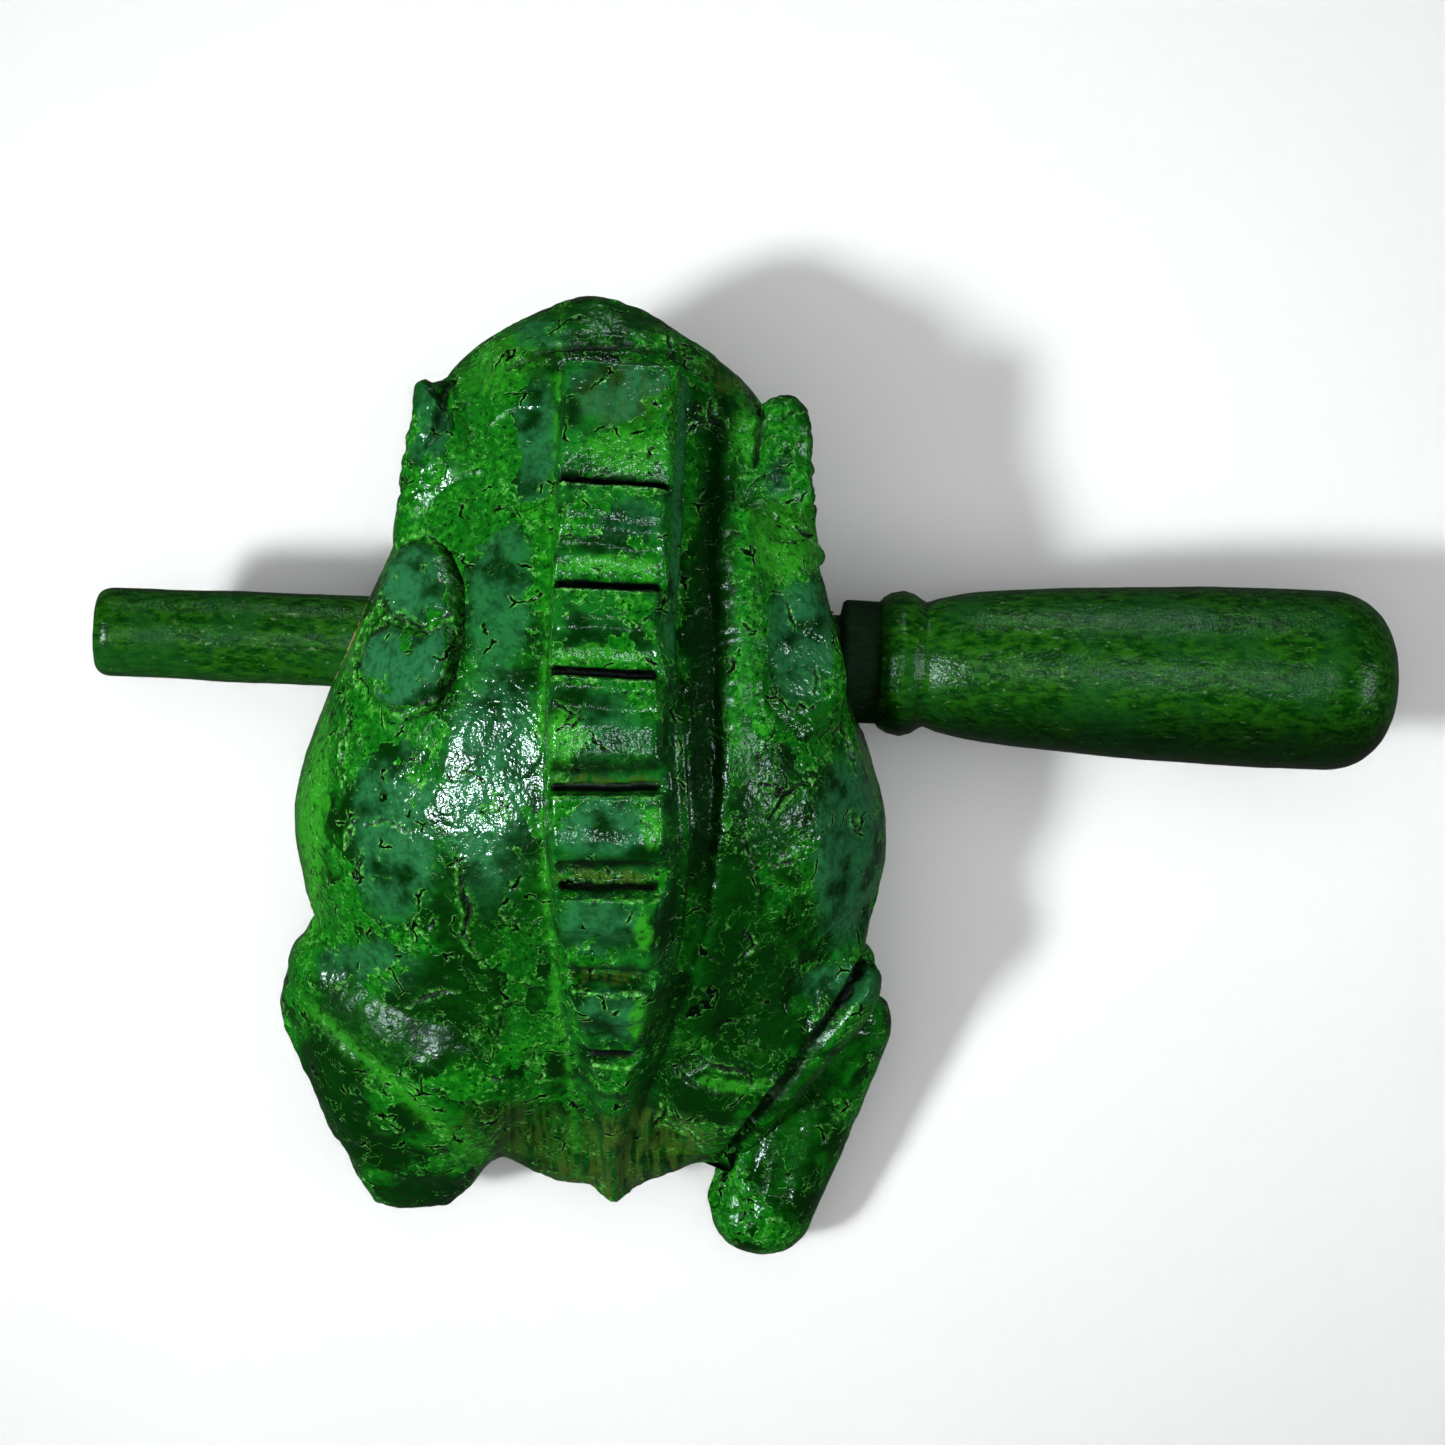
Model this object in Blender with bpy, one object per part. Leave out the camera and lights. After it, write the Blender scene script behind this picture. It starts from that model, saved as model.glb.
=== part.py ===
"""Frog guiro: a hollow frog carved from one block of wood, with a notched crest to scrape,
and the turned stick that is kept in the hole through its sides.

Metres. +Z is up, +Y points to the snout, and +X runs along the stick towards its handle.
The origin is on the base plane, under the middle of the stick hole.
"""

import math
from collections import namedtuple

import bmesh
import bpy
from mathutils import Matrix, Vector

# Driving dimensions
SNOUT_Y = 0.0301
TAIL_Y = -0.0472
CREST_TOP_Z = 0.0420
BORE_HEIGHT = 0.0170
BORE_RADIUS = 0.0043
DOWEL_RADIUS = 0.0040
STICK_TIP_X = -0.0438
STICK_END_X = 0.0694

# The torso: where each cross-section lies, its centre and half width, the heights of its top and
# of its widest line, and the depth of its ellipse, which the base plane cuts off flat.
Section = namedtuple("Section", "y centre half_width top waist bottom")
TORSO = [
    Section(SNOUT_Y, -0.0012, 0.0016, 0.0246, 0.0236, 0.0222),
    Section(0.0292, -0.0014, 0.0038, 0.0258, 0.0232, 0.0190),
    Section(0.0275, -0.0014, 0.0072, 0.0274, 0.0226, 0.0145),
    Section(0.0256, -0.0013, 0.0102, 0.0290, 0.0221, 0.0108),
    Section(0.0225, -0.0008, 0.0134, 0.0310, 0.0216, 0.0070),
    Section(0.0180, 0.0000, 0.0153, 0.0330, 0.0208, 0.0032),
    Section(0.0115, 0.0003, 0.0172, 0.0352, 0.0192, -0.0005),
    Section(0.0040, 0.0000, 0.0200, 0.0370, 0.0176, -0.0025),
    Section(-0.0050, -0.0003, 0.0232, 0.0380, 0.0164, -0.0032),
    Section(-0.0140, -0.0002, 0.0257, 0.0370, 0.0158, -0.0032),
    Section(-0.0220, 0.0000, 0.0247, 0.0343, 0.0152, -0.0030),
    Section(-0.0300, 0.0003, 0.0218, 0.0290, 0.0142, -0.0022),
    Section(-0.0370, 0.0006, 0.0174, 0.0222, 0.0124, -0.0004),
    Section(-0.0420, 0.0010, 0.0125, 0.0168, 0.0106, 0.0022),
    Section(-0.0452, 0.0014, 0.0078, 0.0132, 0.0094, 0.0046),
    Section(TAIL_Y, 0.0016, 0.0030, 0.0100, 0.0085, 0.0066),
]
TORSO_RING_POINTS = 40
TORSO_STEPS = 4
BACK_ROUNDNESS = 2.25
BELLY_ROUNDNESS = 2.1

# The crest: its top line from head to tail, its half width there, how far its centre lies to the
# right of the body's middle plane, and how far each of its walls flares out below the top.
CrestPoint = namedtuple("CrestPoint", "y top half_width drift left_flare right_flare")
CREST = [
    CrestPoint(0.0240, 0.0334, 0.0047, 0.0013, 0.0004, 0.0006),
    CrestPoint(0.0190, 0.0356, 0.00445, 0.0011, 0.0004, 0.0012),
    CrestPoint(0.0110, 0.0387, 0.0045, 0.0011, 0.0004, 0.0013),
    CrestPoint(0.0020, 0.0412, 0.00425, 0.0010, 0.0004, 0.0014),
    CrestPoint(-0.0070, CREST_TOP_Z, 0.0044, 0.0012, 0.0005, 0.0020),
    CrestPoint(-0.0155, 0.0411, 0.0046, 0.0018, 0.0007, 0.0021),
    CrestPoint(-0.0235, 0.0380, 0.0038, 0.0022, 0.0010, 0.0021),
    CrestPoint(-0.0300, 0.0334, 0.0030, 0.0025, 0.0014, 0.0022),
    CrestPoint(-0.0355, 0.0278, 0.0017, 0.00275, 0.0020, 0.0025),
    CrestPoint(-0.0415, 0.0198, 0.0008, 0.0028, 0.0023, 0.0026),
    CrestPoint(-0.0487, 0.0094, 0.0006, 0.0029, 0.0022, 0.0026),
]
CREST_STEPS = 3
CREST_HEIGHT = 0.0026
CREST_ROOT_DEPTH = 0.0065
EDGE_ROUNDING = 0.0004
FLAT_SHARE = 0.9
ROOT_FLARE = 1.3

# Each notch: where its upright wall meets the crest's top, the length of the slope that comes down
# to it from the head, the flat strip after the slope, the saw kerf at the wall's foot, and how far
# the cut turns away from square, per metre to the right.
Notch = namedtuple("Notch", "y slope strip kerf turn")
NOTCHES = [
    Notch(0.0136, 0.0042, 0.0, 0.00095, -0.05),
    Notch(0.00485, 0.0038, 0.0, 0.00095, 0.0),
    Notch(-0.0025, 0.0034, 0.0, 0.00095, 0.0),
    Notch(-0.0121, 0.0017, 0.0008, 0.00085, 0.05),
    Notch(-0.0207, 0.0010, 0.0012, 0.0011, 0.04),
    Notch(-0.0286, 0.0009, 0.0010, 0.0008, 0.0),
    Notch(-0.0352, 0.0010, 0.0, 0.0013, 0.0),
]
STRIP_DEPTH = 0.00125
KERF_DEPTH = 0.0029
KERF_INSET = 0.00012
NOTCH_RISE = 0.0010
NOTCH_LEAN = 0.0002
NOTCH_HALF_LENGTH = 0.0095

# Limbs and eyes are hulls of balls: (x, y, z, radius), x measured outwards from the middle plane.
HAND = [
    (0.0140, 0.0080, 0.0020, 0.0032),
    (0.0146, 0.0170, 0.0008, 0.0021),
    (0.0098, 0.0186, 0.0008, 0.0021),
]
FOREARM = [(0.0202, -0.0098, 0.0112, 0.0034), (0.0146, 0.0080, 0.0042, 0.0028)]
UPPER_ARM = [(0.0170, -0.0030, 0.0250, 0.0034), (0.0204, -0.0095, 0.0130, 0.0038)]
ARM = [UPPER_ARM, FOREARM, HAND]
LEFT_FOOT = [
    (0.0140, -0.0455, 0.0015, 0.0042),
    (0.0232, -0.0262, 0.0006, 0.0021),
    (0.0178, -0.0236, 0.0006, 0.0021),
]
RIGHT_FOOT = [
    (0.0168, -0.0478, 0.0015, 0.0042),
    (0.0236, -0.0268, 0.0006, 0.0021),
    (0.0180, -0.0242, 0.0006, 0.0021),
]
LEFT_EYE = [
    (0.0145, 0.0208, 0.0264, 0.0021),
    (0.0142, 0.0148, 0.0272, 0.0028),
    (0.0095, 0.0155, 0.0286, 0.0022),
]
RIGHT_EYE = [
    (0.0150, 0.0198, 0.0266, 0.0025),
    (0.0151, 0.0148, 0.0270, 0.0027),
    (0.0105, 0.0160, 0.0284, 0.0023),
]
LEFT_BROW = [(0.0142, 0.0148, 0.0268, 0.0028), (0.0148, 0.0092, 0.0250, 0.0032)]
RIGHT_BROW = [(0.0151, 0.0148, 0.0266, 0.0027), (0.0158, 0.0092, 0.0250, 0.0030)]
LEFT_SHOULDER = [(0.0148, 0.0044, 0.0274, 0.0038), (0.0156, -0.0022, 0.0276, 0.0040)]
RIGHT_SHOULDER = [(0.0140, 0.0085, 0.0272, 0.0036), (0.0166, -0.0022, 0.0268, 0.0044)]
LEFT_HAUNCH = [
    (0.0105, -0.0335, 0.0160, 0.0092),
    (0.0202, -0.0286, 0.0170, 0.0058),
    (0.0222, -0.0318, 0.0145, 0.0046),
    (0.0118, -0.0405, 0.0108, 0.0062),
    (0.0182, -0.0394, 0.0140, 0.0050),
    (0.0164, -0.0470, 0.0090, 0.0030),
    (0.0132, -0.0468, 0.0082, 0.0032),
]
RIGHT_HAUNCH = [
    (0.0115, -0.0330, 0.0160, 0.0092),
    (0.0208, -0.0278, 0.0190, 0.0049),
    (0.0110, -0.0400, 0.0100, 0.0052),
]
RIGHT_SHIN = [(0.0224, -0.0318, 0.0105, 0.0046), (0.0162, -0.0484, 0.0065, 0.0048)]

# Everything on each side of the body: which way is outwards, its foot, and its other hulls.
Side = namedtuple("Side", "outwards foot hulls")
SIDES = [
    Side(-1, LEFT_FOOT, [LEFT_EYE, LEFT_BROW, LEFT_SHOULDER, LEFT_HAUNCH]),
    Side(1, RIGHT_FOOT, [RIGHT_EYE, RIGHT_BROW, RIGHT_SHOULDER, RIGHT_HAUNCH, RIGHT_SHIN]),
]

# What is cut out of the block
MOUTH_BACK_Y = 0.0135
MOUTH_FRONT_Y = 0.0400
MOUTH_HEIGHT_BACK = (0.0164, 0.0218)
MOUTH_HEIGHT_FRONT = (0.0138, 0.0236)
MOUTH_BACK_SEGMENTS = 6
CAVITY_CENTRE = (0.0, -0.0050, 0.0190)
CAVITY_RADII = (0.0155, 0.0250, 0.0120)
SEAT_X = 0.0205
SEAT_RADIUS = 0.0062
TOE_GROOVE_DEPTH = 0.0018
TOE_GROOVE_WIDTH = 0.0032
TOE_GROOVE_HEIGHT = 0.0030
TOE_GROOVE_BACK = 0.0065
TOE_GROOVE_FRONT = 0.0040
TOE_GROOVE_PLACES = (0.25, 0.75)
BEYOND_SIDE_X = 0.0400
BELOW_BASE_SIZE = 0.2

# The stick's neck, bead and handle, from the frog outwards, as (x, radius) along each
NECK = [(0.0209, 0.0051), (0.0212, 0.0054), (0.0241, 0.00535)]
BEAD = [(0.0244, 0.0057), (0.0251, 0.00615), (0.0262, 0.00637), (0.0272, 0.0061), (0.0279, 0.0056)]
HANDLE = [
    (0.02825, 0.00545),
    (0.0288, 0.0056),
    (0.0296, 0.0059),
    (0.0330, 0.00654),
    (0.0400, 0.00715),
    (0.0500, 0.00768),
    (0.0580, 0.00788),
    (0.0626, 0.00786),
]
HANDLE_END_SQUARENESS = 2.35
HANDLE_END_SEGMENTS = 7
STICK_END_RADIUS = 0.0012
STICK_SEGMENTS = 32

VOXEL = 0.0007
SMOOTHING_PASSES = 5
BODY_FACE_SHARE = 0.052
GREEN_PAINT = (0.02, 0.20, 0.03, 1.0)
DARK_GREEN_PAINT = (0.012, 0.075, 0.018, 1.0)


def clear_scene():
    for old in list(bpy.data.objects):
        bpy.data.objects.remove(old)


def paint(name, colour, roughness):
    material = bpy.data.materials.new(name)
    material.use_nodes = True
    shader = material.node_tree.nodes["Principled BSDF"]
    shader.inputs["Base Color"].default_value = colour
    shader.inputs["Roughness"].default_value = roughness
    shader.inputs["Metallic"].default_value = 0.0
    return material


def add_object(name, mesh_data, material=None):
    obj = bpy.data.objects.new(name, mesh_data)
    bpy.context.scene.collection.objects.link(obj)
    if material:
        mesh_data.materials.append(material)
    return obj


def add_helper(name, mesh_data):
    """A cutter or a joining solid: a modifier uses it, and it isn't a part."""
    obj = add_object(name, mesh_data)
    obj.hide_render = True
    obj.display_type = "WIRE"
    return obj


def finish_mesh(name, shape):
    bmesh.ops.recalc_face_normals(shape, faces=shape.faces)
    mesh_data = bpy.data.meshes.new(name)
    shape.to_mesh(mesh_data)
    shape.free()
    return mesh_data


def between(a, b, c, d, t):
    """The Catmull-Rom curve from b to c at t, with the values on either side of them."""
    straight = (c - a) * t
    bend = (2 * a - 5 * b + 4 * c - d) * t**2 + (3 * b - a - 3 * c + d) * t**3
    return b + (straight + bend) / 2


def spline(rows, steps):
    """The rows with steps - 1 more between each two, on a Catmull-Rom curve through them all."""
    kind = type(rows[0])
    padded = [rows[0]] + rows + [rows[-1]]
    made = []
    for before, start, end, after in zip(padded, padded[1:], padded[2:], padded[3:]):
        for i in range(steps):
            t = i / steps
            made.append(kind(*(
                between(a, b, c, d, t) for a, b, c, d in zip(before, start, end, after)
            )))
    return made + [rows[-1]]


def loft(shape, rings):
    """Skins closed rings of equal length, and closes both ends."""
    made = [[shape.verts.new(point) for point in ring] for ring in rings]
    count = len(made[0])
    for near, far in zip(made, made[1:]):
        for i in range(count):
            shape.faces.new((near[i], near[(i + 1) % count], far[(i + 1) % count], far[i]))
    shape.faces.new(made[0])
    shape.faces.new(reversed(made[-1]))


def signed_power(value, power):
    return math.copysign(abs(value) ** power, value)


def torso_ring(section):
    points = []
    for i in range(TORSO_RING_POINTS):
        angle = 2 * math.pi * i / TORSO_RING_POINTS
        above = math.sin(angle) >= 0
        power = 2 / (BACK_ROUNDNESS if above else BELLY_ROUNDNESS)
        reach = section.top - section.waist if above else section.waist - section.bottom
        points.append((
            section.centre + section.half_width * signed_power(math.cos(angle), power),
            section.y,
            section.waist + reach * signed_power(math.sin(angle), power),
        ))
    return points


def hull_of_balls(shape, balls, side):
    """The convex hull of balls given as (outwards, y, z, radius), on one side of the body."""
    unit = bmesh.new()
    bmesh.ops.create_icosphere(unit, subdivisions=2, radius=1.0)
    directions = [vert.co.copy() for vert in unit.verts]
    unit.free()
    points = []
    for outwards, y, z, radius in balls:
        centre = Vector((side * outwards, y, z))
        points += [shape.verts.new(centre + direction * radius) for direction in directions]
    hull = bmesh.ops.convex_hull(shape, input=points)
    inside = {part for part in hull["geom_interior"] + hull["geom_unused"] if part in points}
    bmesh.ops.delete(shape, geom=list(inside), context="VERTS")


def carved_block():
    """The torso, head, legs and eyes as overlapping closed shells, which the remesh fuses."""
    shape = bmesh.new()
    loft(shape, [torso_ring(section) for section in spline(TORSO, TORSO_STEPS)])
    for side in SIDES:
        for balls in ARM + side.hulls + [side.foot]:
            hull_of_balls(shape, balls, side.outwards)
    return finish_mesh("carved_block", shape)


def crest_line():
    """Points along the crest's top from head to tail, each with its tangent and outward normal."""
    rows = spline(CREST, CREST_STEPS)
    line = []
    for i, row in enumerate(rows):
        before = rows[max(i - 1, 0)]
        after = rows[min(i + 1, len(rows) - 1)]
        tangent = Vector((0, after.y - before.y, after.top - before.top)).normalized()
        line.append((row, tangent, Vector((0, tangent.z, -tangent.y))))
    return line


def crest_side(point, flare):
    """(outwards, down) pairs for one side of the crest, from the edge of its top to its root."""
    return [
        (point.half_width * FLAT_SHARE, 0.0),
        (point.half_width, EDGE_ROUNDING),
        (point.half_width + flare, CREST_HEIGHT),
        (point.half_width + flare * ROOT_FLARE, CREST_HEIGHT + CREST_ROOT_DEPTH),
    ]


def crest_fin():
    """A band swept along the back, with a steep left wall and a wide bevel on the right."""
    rings = []
    for point, _, normal in crest_line():
        top = Vector((point.drift, point.y, point.top))
        right_side = crest_side(point, point.right_flare)
        left_side = crest_side(point, point.left_flare)
        right = [top + Vector((out, 0, 0)) - normal * down for out, down in right_side]
        left = [top - Vector((out, 0, 0)) - normal * down for out, down in left_side]
        rings.append(right + left[::-1])
    shape = bmesh.new()
    loft(shape, rings)
    return finish_mesh("crest_fin", shape)


def place_on_crest(y):
    """The crest's top at one y: its point, its half width, its tangent (tailwards) and its normal."""
    line = crest_line()
    for (a, tangent_a, normal_a), (b, tangent_b, normal_b) in zip(line, line[1:]):
        if a.y >= y >= b.y:
            t = (a.y - y) / (a.y - b.y)
            point = Vector((a.drift, a.y, a.top)).lerp(Vector((b.drift, b.y, b.top)), t)
            half_width = a.half_width + (b.half_width - a.half_width) * t
            tangent = tangent_a.lerp(tangent_b, t).normalized()
            normal = normal_a.lerp(normal_b, t).normalized()
            return point, half_width, tangent, normal
    raise ValueError("the notch lies beyond the crest")


def prism(shape, outline, half_length, turn=0.0):
    """Extrudes an outline, given as points in a plane across X, to both sides of it."""
    rings = []
    for reach in (-half_length, half_length):
        rings.append([Vector((point.x + reach, point.y + turn * reach, point.z)) for point in outline])
    loft(shape, rings)


def notches():
    """The upper cuts: a slope down from the head, a flat strip, and an upright wall."""
    shape = bmesh.new()
    for notch in NOTCHES:
        point, _, tangent, normal = place_on_crest(notch.y)
        strip_end = notch.kerf + notch.strip
        slope_end = strip_end + notch.slope * (1 + NOTCH_RISE / STRIP_DEPTH)
        outline = [
            point + tangent * NOTCH_LEAN + normal * NOTCH_RISE,
            point - normal * STRIP_DEPTH,
            point - tangent * strip_end - normal * STRIP_DEPTH,
            point - tangent * slope_end + normal * NOTCH_RISE,
        ]
        prism(shape, outline, NOTCH_HALF_LENGTH, notch.turn)
    return finish_mesh("notches", shape)


def kerfs():
    """The deep narrow saw cuts at the foot of each notch's wall, which stop short of the crest's sides."""
    shape = bmesh.new()
    for notch in NOTCHES:
        point, half_width, tangent, normal = place_on_crest(notch.y)
        start = point - tangent * KERF_INSET
        outline = [
            start,
            start - normal * KERF_DEPTH,
            point - tangent * notch.kerf - normal * KERF_DEPTH,
            point - tangent * notch.kerf,
        ]
        prism(shape, outline, half_width, notch.turn)
    return finish_mesh("kerfs", shape)


def mouth():
    """A wedge open to the front and to both sides, with a rounded back."""
    low_back, high_back = MOUTH_HEIGHT_BACK
    low_front, high_front = MOUTH_HEIGHT_FRONT
    radius = (high_back - low_back) / 2
    outline = [Vector((0, MOUTH_FRONT_Y, low_front)), Vector((0, MOUTH_FRONT_Y, high_front))]
    for i in range(MOUTH_BACK_SEGMENTS + 1):
        angle = math.pi / 2 + math.pi * i / MOUTH_BACK_SEGMENTS
        outline.append(Vector((
            0,
            MOUTH_BACK_Y + radius + radius * math.cos(angle),
            (low_back + high_back) / 2 + radius * math.sin(angle),
        )))
    shape = bmesh.new()
    prism(shape, outline, MOUTH_FRONT_Y)
    return finish_mesh("mouth", shape)


def cavity():
    shape = bmesh.new()
    bmesh.ops.create_uvsphere(shape, u_segments=24, v_segments=12, radius=1.0)
    bmesh.ops.scale(shape, vec=CAVITY_RADII, verts=shape.verts)
    bmesh.ops.translate(shape, vec=CAVITY_CENTRE, verts=shape.verts)
    return finish_mesh("cavity", shape)


def cylinder_along_x(name, start, end, radius):
    shape = bmesh.new()
    middle = Matrix.Translation(((start + end) / 2, 0, BORE_HEIGHT))
    bmesh.ops.create_cone(
        shape,
        cap_ends=True,
        segments=STICK_SEGMENTS,
        radius1=radius,
        radius2=radius,
        depth=end - start,
        matrix=middle @ Matrix.Rotation(math.pi / 2, 4, "Y"),
    )
    return finish_mesh(name, shape)


def toe_grooves():
    """Two V cuts in the front of each foot, between its toes."""
    shape = bmesh.new()
    feet = [(side.outwards, balls) for side in SIDES for balls in (HAND, side.foot)]
    for outwards, (heel, outer, inner) in feet:
        outer_toe = Vector((outwards * outer[0], outer[1], 0))
        inner_toe = Vector((outwards * inner[0], inner[1], 0))
        middle = (outer_toe + inner_toe) / 2
        along = (middle - Vector((outwards * heel[0], heel[1], 0))).normalized()
        half_across = Vector((along.y, -along.x, 0)) * TOE_GROOVE_WIDTH / 2
        bottom = outer[2] + outer[3] - TOE_GROOVE_DEPTH
        for share in TOE_GROOVE_PLACES:
            tip = outer_toe.lerp(inner_toe, share)
            ends = [(tip - along * TOE_GROOVE_BACK, TOE_GROOVE_HEIGHT), (tip + along * TOE_GROOVE_FRONT, 0.0)]
            rings = []
            for end, lift in ends:
                low = end + Vector((0, 0, bottom + lift))
                high = low + Vector((0, 0, TOE_GROOVE_DEPTH + TOE_GROOVE_HEIGHT))
                rings.append([low, high + half_across, high - half_across])
            loft(shape, rings)
    return finish_mesh("toe_grooves", shape)


def below_base():
    shape = bmesh.new()
    lowered = Matrix.Translation((0, 0, -BELOW_BASE_SIZE / 2))
    bmesh.ops.create_cube(shape, size=BELOW_BASE_SIZE, matrix=lowered)
    return finish_mesh("below_base", shape)


def add_boolean(obj, helper, operation):
    modifier = obj.modifiers.new(helper.name, "BOOLEAN")
    modifier.object = helper
    modifier.operation = operation
    modifier.solver = "EXACT"
    modifier.use_self = True


def frog_body(material):
    frog = add_object("frog_body", carved_block(), material)
    remesh = frog.modifiers.new("fuse", "REMESH")
    remesh.mode = "VOXEL"
    remesh.voxel_size = VOXEL
    remesh.use_smooth_shade = True
    smooth = frog.modifiers.new("soften", "SMOOTH")
    smooth.factor = 0.5
    smooth.iterations = SMOOTHING_PASSES
    decimate = frog.modifiers.new("thin_out", "DECIMATE")
    decimate.ratio = BODY_FACE_SHARE
    add_boolean(frog, add_helper("crest_fin", crest_fin()), "UNION")
    cuts = [
        ("notches", notches()),
        ("kerfs", kerfs()),
        ("mouth", mouth()),
        ("cavity", cavity()),
        ("bore", cylinder_along_x("bore", -BEYOND_SIDE_X, BEYOND_SIDE_X, BORE_RADIUS)),
        ("seat", cylinder_along_x("seat", SEAT_X, BEYOND_SIDE_X, SEAT_RADIUS)),
        ("toe_grooves", toe_grooves()),
        ("below_base", below_base()),
    ]
    for name, mesh_data in cuts:
        add_boolean(frog, add_helper("cut_" + name, mesh_data), "DIFFERENCE")
    return frog


def stick_profile():
    """(x, radius) along the stick, from its thin tip to the end of its handle."""
    tip = [(STICK_TIP_X, 0.0029), (STICK_TIP_X + 0.0003, 0.0035), (STICK_TIP_X + 0.0012, DOWEL_RADIUS)]
    neck_start = NECK[0][0]
    shaft = [(STICK_TIP_X + (neck_start - STICK_TIP_X) * i / 6, DOWEL_RADIUS) for i in range(1, 7)]
    dome_start, dome_radius = HANDLE[-1]
    dome = []
    for i in range(1, HANDLE_END_SEGMENTS + 1):
        share = math.sin(math.pi / 2 * i / HANDLE_END_SEGMENTS)
        radius = dome_radius * (1 - share**HANDLE_END_SQUARENESS) ** (1 / HANDLE_END_SQUARENESS)
        dome.append((dome_start + (STICK_END_X - dome_start) * share, max(radius, STICK_END_RADIUS)))
    return tip + shaft + NECK + BEAD + HANDLE + dome


def striker_stick(material):
    rings = []
    angles = [2 * math.pi * i / STICK_SEGMENTS for i in range(STICK_SEGMENTS)]
    for x, radius in stick_profile():
        rings.append([(x, radius * math.cos(angle), radius * math.sin(angle)) for angle in angles])
    shape = bmesh.new()
    loft(shape, rings)
    mesh_data = finish_mesh("striker_stick", shape)
    mesh_data.shade_smooth()
    stick = add_object("striker_stick", mesh_data, material)
    stick.location = (0, 0, BORE_HEIGHT)
    return stick


def main():
    clear_scene()
    frog_body(paint("green_crackle_paint", GREEN_PAINT, 0.4))
    striker_stick(paint("dark_green_paint", DARK_GREEN_PAINT, 0.45))


main()
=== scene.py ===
"""Looks of the frog guiro: the carved frog under its crackled paint, and the turned stick.

Everything is in metres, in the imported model's frame: +X along the stick, +Y to the snout, +Z up.
The carving marks are listed in millimetres, and MM turns them into metres.
"""

import math
from collections import namedtuple
from functools import partialmethod

import bmesh
import bpy
import numpy as np
from mathutils import Matrix, Vector


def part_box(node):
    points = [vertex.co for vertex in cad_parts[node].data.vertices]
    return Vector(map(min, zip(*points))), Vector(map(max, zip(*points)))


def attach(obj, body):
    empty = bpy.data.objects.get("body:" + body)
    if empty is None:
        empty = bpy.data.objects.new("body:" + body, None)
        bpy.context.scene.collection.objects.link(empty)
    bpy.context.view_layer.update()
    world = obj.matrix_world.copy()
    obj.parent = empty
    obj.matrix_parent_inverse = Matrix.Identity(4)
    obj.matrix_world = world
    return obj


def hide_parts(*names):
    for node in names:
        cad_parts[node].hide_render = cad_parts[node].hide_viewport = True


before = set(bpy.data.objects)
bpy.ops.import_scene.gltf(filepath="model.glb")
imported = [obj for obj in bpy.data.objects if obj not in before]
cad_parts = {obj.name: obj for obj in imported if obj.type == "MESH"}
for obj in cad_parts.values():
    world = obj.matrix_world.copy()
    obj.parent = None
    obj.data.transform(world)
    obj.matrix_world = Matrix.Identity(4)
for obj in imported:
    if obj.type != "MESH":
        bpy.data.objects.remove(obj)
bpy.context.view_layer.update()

MM = 0.001
FROG_LOW, FROG_HIGH = (Vector(corner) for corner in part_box("frog_body"))
STICK_LOW, STICK_HIGH = (Vector(corner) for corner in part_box("striker_stick"))
BORE_HEIGHT = (STICK_LOW.z + STICK_HIGH.z) / 2
BORE_RADIUS = 4.3 * MM
SEAT_START, SEAT_RADIUS = 20.5 * MM, 6.2 * MM
SNOUT_Y = 30.1
BEYOND_SIDES = 40.0
BELOW_BASE_SIZE = 0.2

FUSE_VOXEL = 0.5 * MM
SKIN_VOXEL = 0.22 * MM

# The torso's cross-sections in mm: place, centre, half width, and the heights of the top, of the
# widest line and of the bottom.
Section = namedtuple("Section", "y centre half_width top waist bottom")
TORSO = [Section(*row) for row in (
    (SNOUT_Y, -1.2, 1.6, 24.6, 23.6, 22.2), (29.2, -1.4, 3.8, 25.8, 23.2, 19),
    (27.5, -1.4, 7.2, 27.4, 22.6, 14.5), (25.6, -1.3, 10.2, 29, 22.1, 10.8),
    (22.5, -0.8, 13.4, 31, 21.6, 7), (18, 0, 15.3, 33, 20.8, 3.2), (11.5, 0.3, 17.2, 35.2, 19.2, -0.5),
    (4, 0, 20, 37, 17.6, -2.5), (-5, -0.3, 23.2, 38, 16.4, -3.2), (-14, -0.2, 25.7, 37, 15.8, -3.2),
    (-22, 0, 24.7, 34.3, 15.2, -3), (-30, 0.3, 21.8, 29, 14.2, -2.2), (-37, 0.6, 17.4, 22.2, 12.4, -0.4),
    (-42, 1, 12.5, 16.8, 10.6, 2.2), (-45.2, 1.4, 7.8, 13.2, 9.4, 4.6), (-47.2, 1.6, 3, 10, 8.5, 6.6),
)]
BACK_ROUNDNESS = 2.25
BELLY_ROUNDNESS = 2.1

# The crest's top line in mm, its half width, and its centre's distance right of the middle.
CrestPoint = namedtuple("CrestPoint", "y top half_width drift")
CREST = [CrestPoint(*row) for row in (
    (24, 33.4, 4.7, 1.3), (19, 35.6, 4.45, 1.1), (11, 38.7, 4.5, 1.1), (2, 41.2, 4.25, 1),
    (-7, 42, 4.4, 1.2), (-15.5, 41.1, 4.6, 1.8), (-23.5, 38, 3.8, 2.2), (-30, 33.4, 3, 2.5),
    (-35.5, 27.8, 1.7, 2.75), (-41.5, 19.8, 0.8, 2.8), (-48.7, 9.4, 0.6, 2.9),
)]
# How far the crest's sides flare below its top, on each side, by place.
LEFT_FLARE = [(24, 0.4), (-10, 0.5), (-20, 0.8), (-30, 1.4), (-36, 2), (-41.5, 2.3), (-48.7, 2.2)]
RIGHT_FLARE = [(24, 0.6), (20, 1.2), (2, 1.3), (-6, 2), (-30, 2.1), (-36, 2.5), (-48.7, 2.6)]
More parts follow.
